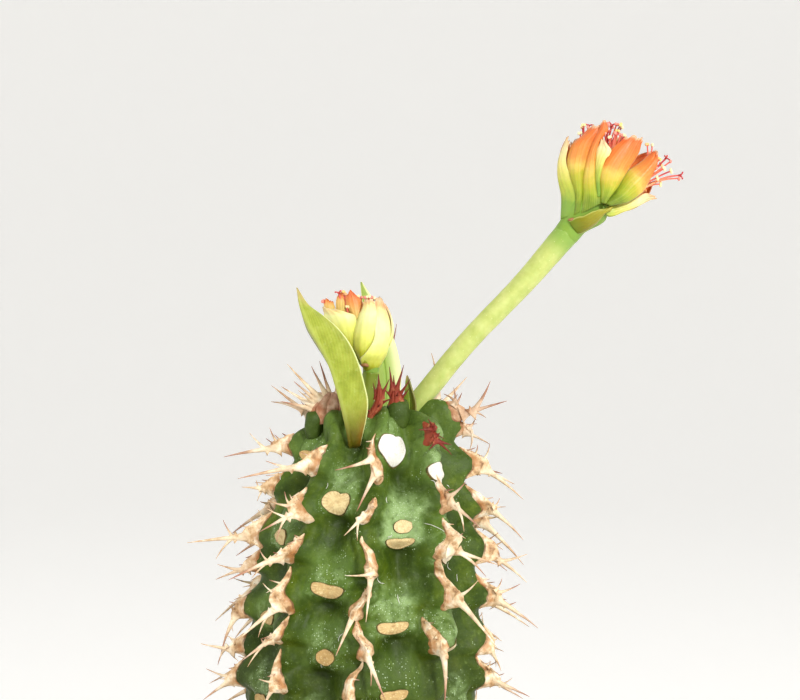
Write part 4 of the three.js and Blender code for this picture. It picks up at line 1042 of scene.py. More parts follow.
def ruled_tips(column, order, height, side):
    """Tips of a comb that follows the rule, from the highest root to the lowest."""
    seed = 100 * column + 10 * order + side
    young = float(smooth((height - YOUNG_COMB) / COMB_CHANGE))
    size = 1 - 0.15 * young - 0.2 * float(smooth((OLD_COMB - height) / COMB_CHANGE))
    spines = [(0.84, -side * (4 + 24 * draw(seed)), -18 - 30 * draw(seed + 1), 9.6 + 3.4 * draw(seed + 2))]
    if height > LOWEST_SECOND_SPINE:
        spines.append((0.5, -side * (30 + 30 * draw(seed + 3)), -22 + 34 * draw(seed + 4),
                       4.6 + 2.2 * draw(seed + 5)))
    if height > LOWEST_THIRD_SPINE:
        spines.append((0.74, side * (16 + 34 * draw(seed + 6)), -44 + 30 * draw(seed + 7),
                       3.8 + 2.4 * draw(seed + 8)))
    place = column + 0.5 + side * 0.47
    top_run = float(run_at_height(height))
    tips = []
    for share, aside, up, length in sorted(spines):
        root = stem_point(place, top_run + share * SHIELD_LENGTH)[0]
        tip = root + spine_aim(place, aside, up + 14 * young) * length * size
        tips.append((tip[0], tip[1], max(tip[2], SOIL_LEVEL + 3)))
    return seed, young, tips


def make_combs():
    shields, spines = (Form("tip", "reach", "rim", "youth", "seed", "fin") for _ in range(2))
    for k, (rib, top, foot, youth, tips) in enumerate(FRONT_COMBS):
        runs = run_at_height(np.array([top, foot], float))
        add_comb(shields, spines, rib, *runs, youth, tips, 500 + 13 * k)
    for k, (around, top_run, foot_run, youth, tips) in enumerate(CROWN_COMBS):
        add_comb(shields, spines, around, top_run, foot_run, youth, tips, 900 + 13 * k, on_crest=False)
    for column, order, side, rib, height in RULED_COMBS:
        seed, young, tips = ruled_tips(column, order, height, side)
        run = float(run_at_height(height))
        add_comb(shields, spines, rib, run, run + SHIELD_LENGTH, 0.5 * young, tips, seed + 2000)
    for k, web in enumerate(WEBS):
        add_web(shields, spines, *web, 40 * k + 70)
    cork = comb_material()
    add_piece("shields", shields, cork, "stem")
    add_piece("spines", spines, cork, "stem")


def make_knobs(skin):
    """Young swellings of the crown, a little square, in the stem's own skin."""
    form = Form("deep", "bulge", "under", "bloom")
    for centre, radii, painted_shade in KNOBS:
        centre, radii = np.array(centre, float), np.array(radii, float)
        points, faces = ball(0, 1, 40, 26)
        points = centre + radii * points * (np.abs(points) ** 4).sum(1, keepdims=True) ** -0.12
        points = points + 0.22 * noise(points, 1.6, 9)[:, None] * unit(points - centre)
        form.add(points, faces, deep=painted_shade)
    add_piece("knobs", form, skin, "stem")


def comb_material():
    m = Shader("cork", specular=0.3)
    tip, reach, rim, youth, fin = (m.value(name) for name in ("tip", "reach", "rim", "youth", "fin"))
    grain = m.noise(0.5, 5, 0.65)
    soft = m.noise(1.7, 4)
    body = m.ramp(soft, (0.32, (0.29, 0.15, 0.065)), (0.43, (0.58, 0.37, 0.19)), (0.54, (0.80, 0.61, 0.39)),
                  (0.66, (0.94, 0.84, 0.66)))
    orange = m.times(m.span(reach, 0.45, 0.0), m.span(m.noise(2.6, 3), 0.42, 0.60, 0.05, 0.8))
    body = m.mix(m.times(orange, fin), body, (0.42, 0.17, 0.045))
    body = m.mix(m.span(grain, 0.55, 0.78, 0, 0.5), body, (0.28, 0.14, 0.065))
    pits, _ = m.cells(0.42)
    pitted = m.times(m.span(pits, 0.12, 0.24, 0.85, 0), m.span(m.noise(2.3, 2), 0.46, 0.6))
    body = m.mix(m.times(pitted, fin), body, (0.11, 0.060, 0.035))
    pale = m.times(m.span(tip, 0.02, 0.25), m.span(tip, 0.95, 0.5))
    body = m.mix(m.times(pale, 0.5), body, (0.88, 0.74, 0.54))
    mauve = m.times(m.span(tip, 0.45, 0.95), m.span(m.value("seed"), 0.25, 0.85, 0.15, 0.85))
    body = m.mix(mauve, body, (0.36, 0.135, 0.090))
    # Darker brown along the fins' edges and in the webs' creases: partly the cork's own dark edge, partly
    # painted shade where the fin meets the skin and in the creases
    stain = m.times(m.span(rim, 0.3, 0.8), m.span(m.noise(1.9, 3), 0.40, 0.62, 0.15, 0.85))
    body = m.mix(stain, body, (0.13, 0.060, 0.018))
    red = m.ramp(tip, (0.0, (0.25, 0.040, 0.014)), (0.35, (0.21, 0.024, 0.012)), (1.0, (0.12, 0.016, 0.010)))
    red = m.mix(m.times(m.span(soft, 0.50, 0.66), m.span(tip, 0.4, 0.0)), red, (0.42, 0.16, 0.060))
    red = m.mix(m.span(grain, 0.56, 0.72, 0, 0.5), red, (0.10, 0.020, 0.010))
    colour = m.mix(m.span(youth, 0.1, 0.9), body, red)
    return m.finish(colour, m.span(grain, 0.3, 0.7, 0.42, 0.66), ((grain, 0.12), (soft, 0.14)))


# Leaves

def folded_leaf(path, keel, opening, width, thickness, rows=72, columns=29, seed=0):
    """Leaf folded along its keel, as points, faces, s along it and v across it."""
    curve = curve_through(path)
    outward = unit(keel)

    def surface(s, v):
        axis = tangent_of(curve, s)
        spread = unit(np.cross(axis, outward))
        inward = unit(np.cross(axis, spread))
        blunt = np.sin(math.pi * (0.13 + 0.87 * np.clip(s, 0, 1)) ** 0.9)
        half = 0.12 + (width / 2 - 0.12) * blunt
        fold = math.radians(opening / 2) * np.tanh(4 * np.abs(v)) / math.tanh(4)
        aside, deep = half * v * np.sin(fold), half * np.abs(v) * np.cos(fold)
        here = curve(s) + spread * aside[..., None] + inward * deep[..., None]
        wave = 0.10 * np.sin(9 * s + 2 * v + seed) * np.abs(v) + 0.05 * noise(here, 1.5, seed)
        return here + inward * wave[..., None]

    def thick(s, v):
        midrib = 0.35 * np.exp(-(v / 0.1) ** 2) * (1 - s)
        return (thickness * (1 - 0.55 * np.abs(v) ** 3) + midrib) * (0.35 + 0.65 * smooth((1 - s) / 0.12))

    return blade(surface, rows, columns, thick)


# Where the far half of the large leaf lies: aside and back, in shares of its near half's width, and
# how many millimetres it shows past the near half high up
FAR_ASIDE = -0.02
FAR_BACK = 0.95
FAR_HALF_SHOWS = -0.85


def outlined_leaf(rows, thickness):
    """Leaf folded along its keel, through rows of a keel point and a point of its near edge."""
    keel, edge = two_curves(rows)

    def surface(s, v):
        line, half = keel(s), edge(s) - keel(s)
        wide = np.linalg.norm(half, axis=-1)
        near, beyond = np.maximum(v, 0), np.maximum(-v, 0)
        aside = (FAR_ASIDE + FAR_HALF_SHOWS * np.exp(-((s - 0.66) / 0.15) ** 2) / np.maximum(wide, 1))
        back = points_at(aside * wide, FAR_BACK * wide, 0)
        front = unit(np.cross(half, tangent_of(keel, s)))
        arch = 0.055 * wide * np.sin(math.pi * near) + 0.05 * noise(line + half * near[..., None], 2.2, 5)
        wave = 0.07 * np.sin(8 * s + 1) * (near**2 + beyond**2) + 0.22 * np.exp(-(v / 0.1) ** 2)
        return line + half * near[..., None] + back * beyond[..., None] + front * (arch + wave)[..., None]

    def thick(s, v):
        midrib = 0.3 * np.exp(-(v / 0.1) ** 2) * (1 - s)
        return (thickness * (1 - 0.6 * np.abs(v) ** 3) + midrib) * (0.3 + 0.7 * smooth((1 - s) / 0.12))

    return blade(surface, 90, 41, thick)


# Keel and near edge of the large leaf, from its foot in a groove of the crown to its tip
LARGE_LEAF = (
    (-0.2, -6.5, 172.4, 1.6, -6.5, 172.4), (-0.1, -9.6, 173.5, 1.7, -9.8, 173.6),
    (-0.3, -10.5, 175.2, 2.1, -10.9, 175.3), (-0.8, -10.6, 177.4, 2.6, -11.1, 177.5),
    (-1.5, -10.4, 180.4, 2.9, -11.3, 180.5), (-2.4, -10.1, 183.6, 2.3, -11.0, 183.5),
    (-3.4, -9.9, 186.6, 1.4, -10.8, 186.8), (-5.0, -9.7, 189.7, -0.1, -10.4, 190.1),
    (-6.7, -9.6, 192.5, -2.3, -10.1, 192.9), (-7.8, -9.6, 195.0, -4.6, -9.9, 194.8),
    (-8.4, -9.6, 197.1, -6.9, -9.7, 196.5), (-8.9, -9.6, 199.3, -8.75, -9.6, 199.25),
)
LEAVES = {
    "leaf_back": dict(path=[(5.6, 5.4, 176.5), (5.6, 6.8, 184), (4, 7.7, 192), (1.4, 7.8, 199.9)],
                      keel=(-0.25, 0.96, 0), opening=165, width=5.6, thickness=0.55, seed=2),
    "leaf_young": dict(path=[(9.9, -4.1, 176), (10.1, -4.1, 180), (9.4, -4.2, 184.4)],
                       keel=(0.6, 0.8, 0), opening=130, width=3, thickness=0.5, rows=40, columns=17, seed=3),
}


def make_leaves():
    material = leaf_material()
    meshes = {name: folded_leaf(**shape) for name, shape in LEAVES.items()}
    meshes["leaf_large"] = outlined_leaf(LARGE_LEAF, 0.5)
    for name, (points, faces, s, v) in meshes.items():
        form = Form("along", "across", "young", "back")
        form.add(points, faces, along=s, across=v, young=1.0 if name == "leaf_young" else 0.0,
                 back=1.0 if name == "leaf_back" else 0.0)
        add_piece(name + "_blade", form, material, "leaf", name)


def leaf_material():
    m = Shader("leaf", specular=0.28, subsurface=0.1, subsurface_scale=0.002)
    along, across, young, back = (m.value(name) for name in ("along", "across", "young", "back"))
    aside = m.math("ABSOLUTE", across)
    green = m.ramp(m.noise(3.0, 5, 0.6), (0.30, (0.215, 0.270, 0.020)), (0.50, (0.300, 0.355, 0.035)),
                   (0.70, (0.390, 0.440, 0.070)))
    vein = m.math("SINE", m.math("SUBTRACT", m.times(along, 130), m.times(aside, 60)))
    green = m.mix(m.times(m.span(vein, 0.4, 1), 0.012), green, (0.50, 0.56, 0.18))
    green = m.mix(m.span(aside, 0.10, 0.02, 0, 0.5), green, (0.42, 0.47, 0.12))
    # Painted shade: the near half darker towards its outer edge, which lies in shade
    green = m.mix(m.span(across, 0.55, 0.92, 0, 0.35), green, (0.19, 0.22, 0.012))
    green = m.mix(m.times(young, 0.75), green, (0.20, 0.31, 0.030))
    green = m.mix(m.times(m.span(m.noise(0.9, 4, 0.65), 0.55, 0.72), 0.22), green, (0.48, 0.52, 0.18))
    green = m.mix(m.span(along, 0.42, 0.15, 0, 0.95), green, (0.105, 0.085, 0.001))
    rust = m.times(m.span(aside, 0.45, 0.95), m.span(along, 0.38, 0.16))
    green = m.mix(m.times(rust, 0.55), green, (0.30, 0.13, 0.012))
    green = m.mix(m.span(along, 0.86, 0.99, 0, 0.85), green, (0.48, 0.34, 0.13))
    lit = m.mix(m.span(across, -0.1, -0.9), (0.30, 0.44, 0.075), (0.80, 0.84, 0.46))
    green = m.mix(m.times(back, 0.9), green, lit)
    green = m.mix(m.span(aside, 0.93, 0.99, 0, 0.7), green, (0.74, 0.78, 0.36))
    # Painted shade: the far half of the fold, turned away from the light, darker, except on the leaf behind
    green = m.mix(m.times(m.span(across, -0.25, -0.6, 0, 0.8), m.span(back, 1, 0)), green,
                  (0.095, 0.080, 0.006))
    rough = m.span(m.noise(1.5, 2), 0.3, 0.7, 0.40, 0.54)
    return m.finish(green, rough, ((vein, 0.008), (m.noise(0.5, 3), 0.05)))


# Flower stalks

LONG_STALK = ((8.4, -0.8, 175.6), (11.7, -0.9, 180.2), (19.6, -1, 189.9), (28.9, -1, 199.7),
              (36.4, -1, 208.3))
SHORT_STALK = ((2.2, -2.6, 174.6), (2.35, -2.5, 179.5), (3.2, -2.2, 184.8))


def make_stalks():
    material = stalk_material()
    for name, spots, radius, seed in (
        ("flower_stalk_long", LONG_STALK, lambda t: 2.05 - 1.4 * t * (1 - t) + 0.1 * t, 1),
        ("flower_stalk_short", SHORT_STALK, lambda t: 1.35 + 0 * t, 2),
    ):
        curve = curve_through(spots)
        rows, sides = (130, 36) if seed == 1 else (50, 28)
        t = np.linspace(0, 1, rows)
        path = curve(t)
        across, other = frames_along(path, (0, -1, 0.2))
        turn = turns(sides)
        ridge = 0.07 * np.exp(-(np.sin((turn - 1.9) / 2) / 0.13) ** 2) + 0.025 * np.cos(5 * turn)
        around = across[:, None] * np.cos(turn)[None, :, None] + other[:, None] * np.sin(turn)[None, :, None]
        reach = radius(t)[:, None] + ridge[None, :]
        rings = path[:, None] + around * reach[..., None]
        rings = rings + around * (0.05 * noise(rings, 2.5, seed) + 0.02 * noise(rings, 0.7, seed))[..., None]
        points, faces = closed_rings(rings)
        form = Form("along", "olive")
        form.add(points, faces, along=ring_values(t, sides, (0, 1)), olive=seed - 1.0)
        add_piece(name + "_skin", form, material, "stalk", name)


def stalk_material():
    m = Shader("stalk", specular=0.3, subsurface=0.1, subsurface_scale=0.002)
    along = m.value("along")
    green = m.ramp(m.noise(2.4, 5, 0.6), (0.3, (0.37, 0.44, 0.10)), (0.52, (0.46, 0.52, 0.15)),
                   (0.72, (0.54, 0.59, 0.21)))
    # Painted shade: darker towards the stalk's foot, which sits in shade
    green = m.mix(m.span(along, 0.0, 0.35, 0.9, 0), green, (0.19, 0.27, 0.030))
    green = m.mix(m.span(along, 0.88, 0.985, 0, 0.95), green, (0.22, 0.36, 0.060))
    green = m.mix(m.times(m.value("olive"), 0.85), green, (0.13, 0.18, 0.002))
    spots, _ = m.cells(0.7)
    green = m.mix(m.span(spots, 0.06, 0.16, 0.45, 0), green, (0.70, 0.74, 0.42))
    return m.finish(green, m.span(m.noise(1, 2), 0.3, 0.7, 0.34, 0.46), ((m.noise(0.5, 3), 0.04),))


# Flower heads

# What a point of a flower head belongs to, kept as its value "part"
BRACT, PALE, LEAFY, CUP, GLAND, FILAMENT, ANTHER, DRIED = range(8)

# A head's base is a tube through points, each with its half width and half depth.
# A bract in front is given by rows from its foot to its tip, each the left and the right point of
# its edge, and by the side that it bulges to. One behind goes from a cup to its tip.
LONG_HEAD = dict(
    base=(
        ((35.8, -1, 207.56), 1.9, 1.9), ((36.25, -1, 208.13), 2.2, 2.2), ((36.9, -1, 208.97), 2.24, 2.2),
        ((37.5, -1, 209.8), 2.35, 2.2),
        ((38.2, -1, 210.7), 2.75, 2.35), ((39.2, -1, 211.8), 3.3, 2.6), ((40.2, -0.9, 212.8), 3.6, 2.8),
        ((41, -0.9, 213.8), 3.0, 2.5), ((41.4, -0.9, 214.5), 1.4, 1.2),
    ),
    node=(38, -1, 210.6),
    fronts=(
        dict(rows=((35.4, -1.2, 210.7, 37.3, -2.8, 211.1), (35.5, -0.8, 214.4, 38.1, -2.5, 214.6),
                   (34.9, -0.5, 217.7, 37, -2.2, 217.4), (35, -0.1, 220.2, 36.2, -1.8, 220.4),
                   (35.8, 0.2, 222.8, 36.5, -1.5, 222.8), (36.5, 0.6, 224.4, 36.8, -1.2, 224.1)),
             out=(-1, -0.4, 0), bulge=0.5, part=PALE),
        dict(rows=((37.2, -2.2, 210.9, 38.5, -3.2, 212), (37.9, -1.9, 214.5, 38.7, -3, 214.8),
                   (36.6, -1.7, 218.4, 39.1, -2.8, 218.4), (36.3, -1.4, 220.7, 39.6, -2.6, 220.4),
                   (37.2, -1.1, 223.3, 40.4, -2.4, 223.4), (38.8, -0.9, 224.7, 41.6, -2.2, 225.2),
                   (40.5, -0.6, 226.5, 41.9, -2, 226.3)),
             out=(-0.3, -1, 0), bulge=0.9, part=BRACT),
        dict(rows=((38, -2.8, 211.2, 41.9, -3.9, 213.4), (38.7, -2.7, 214.5, 41.7, -3.7, 214.8),
                   (38.7, -2.7, 216.9, 41.4, -3.5, 216.9), (39.2, -2.6, 219.5, 41.2, -3.3, 219.4),
                   (39.9, -2.6, 221.8, 41.2, -3.2, 221.8), (40.7, -2.5, 223.9, 42, -3, 224.1),
                   (41.6, -2.5, 225.9, 43.1, -2.8, 225.9), (41.9, -2.4, 227, 42.9, -2.6, 226.9)),
             out=(-0.2, -1, 0), bulge=0.9, part=BRACT),
        dict(rows=((41.8, -3.8, 213.4, 42.3, -3.8, 213.3), (41.5, -3.7, 215.5, 44.1, -3.5, 215.4),
                   (41.2, -3.7, 217.6, 45.4, -3.1, 217.3), (41.5, -3.6, 219.7, 46.6, -2.8, 219.2),
                   (42.6, -3.5, 221.4, 47.9, -2.5, 221.3), (44.2, -3.5, 223, 48.7, -2.1, 223.1),
                   (45.8, -3.4, 224.5, 49.2, -1.8, 224.1)),
             out=(0.3, -1, 0), bulge=1.3, part=BRACT),
        dict(rows=((41.4, -3.6, 214.3, 41.7, -4.2, 214.5), (41.1, -3.5, 217.6, 41.6, -4.3, 217.6),
                   (40.9, -3.4, 220.4, 42.5, -4.4, 220.6), (41.1, -3.3, 222.7, 43.5, -4.2, 221.9),
                   (41.9, -3.2, 224, 42.5, -3.9, 223.6)),
             out=(-0.4, -1, 0), bulge=0.35, part=PALE),
        dict(rows=((42.2, -3.2, 213.3, 43.3, -3.6, 213), (44.3, -2.8, 215.4, 45.7, -3.3, 213.4),
                   (45.9, -2.4, 218.1, 47.6, -2.9, 214.2), (47.2, -2, 219.4, 49, -2.6, 215.5),
                   (48.8, -1.6, 220.4, 50.3, -2.3, 217.6), (50.1, -1.2, 221.6, 51.4, -1.9, 219.5),
                   (50.9, -0.8, 222.1, 51.4, -1.6, 221.4)),
             out=(0.3, -1, 0.1), bulge=1.1, part=BRACT),
        dict(rows=((42, -2.8, 213.3, 42.2, -3, 212.2), (43.4, -2.4, 212.8, 43.2, -2.6, 211.2),
                   (45.8, -2.1, 213.4, 45.8, -2.1, 212), (47.9, -1.7, 214.2, 48.2, -1.7, 212.9),
                   (49.6, -1.4, 215.1, 50.1, -1.2, 213.8), (51.1, -1, 214.8, 51.1, -0.8, 214.2)),
             out=(0.1, -0.5, -0.85), bulge=0.35, part=PALE),
        dict(rows=((36.6, -3.2, 210.3, 38.1, -2.5, 208.3), (37.7, -3.5, 210.9, 38.9, -2.6, 208.5),
                   (38.9, -3.8, 211.2, 39.8, -2.7, 209), (40.4, -4, 211.9, 41.2, -2.6, 210),
                   (41.8, -4, 212.4, 42.3, -2.8, 211.2), (43.2, -3.7, 212.7, 43.5, -2.8, 212.2)),
             out=(0.1, -1, -0.4), bulge=0.5, part=LEAFY),
    ),
    cups=(
        dict(base=(38.8, -0.4, 213.6), aim=(0.1, 0.12, 1), backs=(
            dict(to=(36.9, 1.6, 224), out=(-1, 0.6, 0), width=5),
            dict(to=(41.2, 1.2, 226.2), out=(0.4, 1, 0), width=5.6))),
        dict(base=(41.8, -1.6, 213.2), aim=(0.28, -0.06, 1), backs=(
            dict(to=(45.6, 0.6, 225), out=(0.4, 1, 0), width=5.6),)),
        dict(base=(43.6, -0.5, 212.8), aim=(0.82, -0.05, 0.62), backs=(
            dict(to=(51.4, 1.4, 221.4), out=(0, 1, 0.3), width=5.4),
            dict(to=(50.8, 2.2, 217.6), out=(0.2, 1, -0.3), width=4.6))),
        dict(base=(40.8, 2.4, 213.4), aim=(0.28, 0.1, 1), backs=(
            dict(to=(39.4, 5.4, 224.8), out=(-0.5, 1, 0), width=6.4),
            dict(to=(47.2, 4.8, 223), out=(0.9, 0.7, 0), width=6.2))),
    ),
    # Cup that each stamen stands in, its tip, 1 where it is a forked style
    stamens=(
        (0, (39.2, 0, 226.6), 0), (0, (40.1, 0.6, 226.6), 1), (0, (39.9, -0.4, 226.2), 0),
        (0, (39.1, 1, 226.3), 0), (0, (38.6, 0.1, 225.2), 0), (3, (43.3, -0.6, 226.7), 0),
        (3, (44, 0.2, 226.7), 1), (3, (44.8, -0.2, 226.7), 0), (3, (45.4, -0.8, 226.6), 0),
        (3, (45.7, 0.6, 226.3), 0), (3, (44.2, 2.4, 226.4), 0), (3, (42.6, 2.6, 226.6), 0),
        (3, (43.6, 4.2, 225.6), 0), (1, (42.4, -3, 225), 0), (1, (43.3, -3.1, 224.4), 0),
        (1, (44.2, -3.1, 225.1), 0), (1, (45.2, -3, 224.8), 0), (1, (45.8, -2.4, 224.7), 0),
        (1, (42.9, -2.4, 225.4), 1), (1, (44.7, -2.2, 225.5), 0), (2, (49.9, -0.5, 223.3), 0),
        (2, (50.7, -1, 223.2), 0), (2, (51.9, -1.4, 220.8), 0), (2, (53.3, 0, 221.1), 1),
        (2, (53.8, -1, 220.4), 0), (2, (52.6, -2, 219.2), 0), (2, (53.9, -1, 218.8), 0),
        (2, (55.2, -1.6, 217.5), 0), (2, (55.8, 0, 218.1), 1), (2, (51.2, -2, 219.4), 0),
        (2, (52.4, 0.8, 220), 0), (2, (51.5, -1.8, 217.6), 0), (2, (52.2, -0.6, 216.6), 0),
    ),
)
SHORT_HEAD = dict(
    base=(
        ((3.21, -2.18, 184.86), 1.34, 1.34), ((3.22, -2.18, 185.4), 1.36, 1.36), ((3.2, -2.1, 186), 1.5, 1.4),
        ((3.0, -1.9, 186.8), 1.9, 1.5), ((2.8, -1.7, 187.6), 2.1, 1.6), ((2.6, -1.6, 188.3), 1.6, 1.3),
        ((2.5, -1.7, 188.7), 0.8, 0.7),
    ),
    node=(3.2, -2.1, 186.2),
    fronts=(
        dict(rows=((2.3, -2.9, 185.9, 3.2, -3.3, 186), (0.9, -2.9, 188.1, 3.4, -3.7, 187.9),
                   (0.1, -2.5, 190, 3.9, -3.7, 189.8), (0.3, -2.4, 191.8, 4.2, -3.6, 191.6),
                   (1, -2.3, 193.9, 4.2, -3.5, 194), (1.8, -2.3, 195.9, 4.1, -3.4, 195.8),
                   (2.1, -2.2, 197.2, 3.8, -3.2, 197.1)),
             out=(-0.35, -1, 0), bulge=1.5, part=BRACT),
        dict(rows=((2.2, -3.1, 185.2, 4.3, -2.2, 185.4), (1.8, -3.7, 186, 4.8, -2, 186),
                   (1.5, -4.3, 187, 5.3, -1.8, 187), (2.1, -4.8, 188, 5.9, -1.5, 188),
                   (3.3, -4.6, 189.5, 6.2, -1.3, 189.4), (3.8, -4, 191.5, 6.6, -1.2, 191.2),
                   (3.9, -3.5, 194, 6.4, -1.1, 193.4), (3.9, -3.1, 195.8, 5.8, -1.1, 195.4),
                   (3.8, -2.9, 197.3, 5, -1, 197.4)),
             out=(0.5, -1, 0), bulge=0.8, part=BRACT),
        dict(rows=((1.6, -2.2, 186.2, 2.4, -2.8, 186.4), (-1.1, -1.6, 189.4, 0.9, -2.7, 189.5),
                   (-2.6, -1.5, 191.3, 0.9, -2.6, 191.6), (-3.9, -1.3, 193.1, 0.9, -2.6, 193.4),
                   (-4.7, -1.2, 194.6, 0.3, -2.5, 194.6), (-5.2, -1, 195.8, -2.2, -2.4, 195.4)),
             out=(-0.3, -1, 0), bulge=1.1, part=BRACT),
        dict(rows=((0.2, -1.8, 190, 1.2, -1.8, 190), (0.3, -1.7, 193.1, 1.7, -1.6, 193.4),
                   (-0.1, -1.6, 194.7, 1.7, -1.5, 194.4), (-0.9, -1.4, 196.3, 1.8, -1.3, 196),
                   (-1.1, -1.3, 197.5, 1.5, -1.2, 197.1), (-0.5, -1.2, 198.4, 0.2, -1, 198.3)),
             out=(0, -1, 0), bulge=0.6, part=GLAND),
        dict(rows=((-3.4, -0.6, 192.6, -2.3, -0.8, 192.6), (-4.6, -0.4, 196, -2.9, -0.5, 195.9),
                   (-4.8, -0.2, 197.1, -3.3, -0.2, 197)),
             out=(-0.4, -1, 0), bulge=0.4, part=GLAND),
        dict(rows=((-2.4, -1, 193, -1, -1, 193), (-2.6, -0.8, 196.8, -1.1, -0.7, 196.8),
                   (-2.4, -0.6, 198, -1.5, -0.4, 198.1)),
             out=(0, -1, 0), bulge=0.4, part=GLAND),
    ),
    cups=(
        dict(base=(3.4, -1.9, 187.4), aim=(-0.02, -0.02, 1), length=7.4, radius=1.25, backs=(
            dict(to=(4.9, 0.6, 196.4), out=(0.9, 0.6, 0), width=5),)),
        dict(base=(1.6, -1.5, 187.4), aim=(-0.46, 0, 1), length=6.2, radius=1.25, backs=(
            dict(to=(-4, 0, 195.6), out=(-0.8, 0.5, -0.2), width=5.4),)),
        dict(base=(2.6, -0.6, 187.4), aim=(-0.2, 0.1, 1), length=6.6, radius=1.25, backs=(
            dict(to=(2, 1.8, 196.6), out=(0.2, 1, 0), width=5.6),
            dict(to=(-1.4, 1.6, 196), out=(-0.6, 1, 0), width=4.6))),
    ),
    stamens=(
        (1, (-2.2, -1, 198.4), 1), (1, (-1.4, -0.6, 198.4), 0), (1, (-1.1, -1, 198), 0),
        (1, (-1.9, 0, 198.1), 0), (1, (-4.9, -0.4, 196.8), 0), (0, (2.3, -2.6, 197.5), 0),
        (0, (2.8, -2.8, 197.6), 0), (0, (3.3, -2.6, 197.5), 0), (0, (3.8, -2.4, 197.4), 0),
        (1, (-0.7, -1.6, 195.9), 0), (2, (1, 0, 197.6), 0), (2, (1.6, 0.5, 197.4), 0),
        (2, (0.4, 0.6, 197.2), 0),
    ),
)


CUP_LENGTH = 6.5
CUP_RADIUS = 1.75
CUP_SIDES = 40
CUP_LOBES = 5
GLAND_RADII = (0.55, 0.62, 0.24)
STYLE_RADIUS = 0.20
FILAMENT_RADIUS = 0.17
ANTHER_RADII = (0.25, 0.25, 0.29)
STAMEN_SIDE = (1, 0.2, 0.1)
BASE_SIDES = 44
# The dried scale on a head's node: its radii and its place from the node
DRIED_RADII = (0.62, 0.3, 0.34)
DRIED_OFFSET = (-0.9, -2.25, -0.05)
BACK_ARC = 115  # how far round a bract behind is cupped, in degrees
BACK_BELLY = 1.2


def bract_share(s):
    return np.where(s < 0.6, 0.46 + 0.54 * smooth(s / 0.6),
                    1 - 0.62 * np.maximum(0, (s - 0.6) / 0.4) ** 2.2)


def bract_thickness(s, v):
    return (0.60 - 0.34 * smooth((s - 0.1) / 0.7)) * (1 - 0.5 * np.abs(v) ** 4)


def add_front(form, rows, out, bulge, part, seed):
    """Bract through the given rows: cupped, with an uneven tip and a wavy edge."""
    rows = np.array(rows, float)
    left, right = two_curves(rows)
    out = unit(out)

    def surface(s, v):
        tip = smooth((s - 0.72) / 0.28)
        flat = points_at(v * 3 + seed, 0, 0)
        fray = 0.5 * noise(flat, 0.7, seed) + 0.35 * noise(flat, 0.28, seed + 1) - 0.35 * np.abs(v) ** 3
        fray = fray * tip
        a, b = left(s), right(s)
        axis = unit(0.5 * (rows[-1, :3] + rows[-1, 3:]) - 0.5 * (rows[-2, :3] + rows[-2, 3:]))
        edge = 0.10 * noise(points_at(s * 6 + seed, np.sign(v), 0), 0.6, seed + 2) * np.abs(v) ** 3
        here = a + (b - a) * ((v * (1 + edge) + 1) / 2)[..., None] + axis * fray[..., None]
        arch = bulge * (1 - v**2) * (0.25 + 0.75 * np.sin(math.pi * np.clip(0.12 + 0.76 * s, 0, 1)))
        crimp = 0.10 * np.sin(5.5 * v + seed) * tip + 0.035 * np.cos(13 * v) * smooth(s / 0.3)
        return here + out * (arch + crimp)[..., None]

    points, faces, s, v = blade(surface, 46, 27, bract_thickness)
    form.add(points, faces, part=part, along=s, across=v, seed=draw(seed))


def add_back(form, base, aim, to, out, width, seed):
    """Cupped bract from a cup's foot to its tip."""
    out, aim = unit(out), unit(aim)
    start = np.array(base, float) + out * 0.7 - aim * 0.9
    along = np.array(to, float) - start
    side = unit(np.cross(along, out))
    outward = unit(np.cross(side, along))
    sweep = math.radians(BACK_ARC / 2)

    def surface(s, v):
        flat = points_at(v * 3 + seed, 0, 0)
        fray = 0.045 * noise(flat, 0.55, seed) + 0.03 * noise(flat, 0.2, seed + 1)
        reach = s * (1 + fray * smooth((s - 0.6) / 0.4) - 0.02)
        radius = width * bract_share(np.clip(s, 0, 1)) / 2 / math.sin(sweep)
        edge = 1 + 0.05 * noise(points_at(s * 5 + seed, np.sign(v), 0), 0.5, seed + 2)
        here = (start + along * reach[..., None] + side * (radius * np.sin(sweep * v) * edge)[..., None]
                + outward * (radius * (np.cos(sweep * v) - math.cos(sweep)) * 0.8)[..., None]
                + outward * (BACK_BELLY * np.sin(math.pi * np.clip(s, 0, 1)))[..., None])
        curl = 0.3 * smooth((s - 0.75) / 0.25) * draw(seed + 4)
        crimp = 0.10 * np.sin(7 * v + seed) * smooth((s - 0.5) / 0.5)
        crimp = crimp + 0.035 * np.cos(11 * v) * smooth(s / 0.3)
        return here + outward * (curl + crimp)[..., None]

    points, faces, s, v = blade(surface, 40, 25, bract_thickness)
    form.add(points, faces, part=BRACT, along=s, across=v, seed=draw(seed))


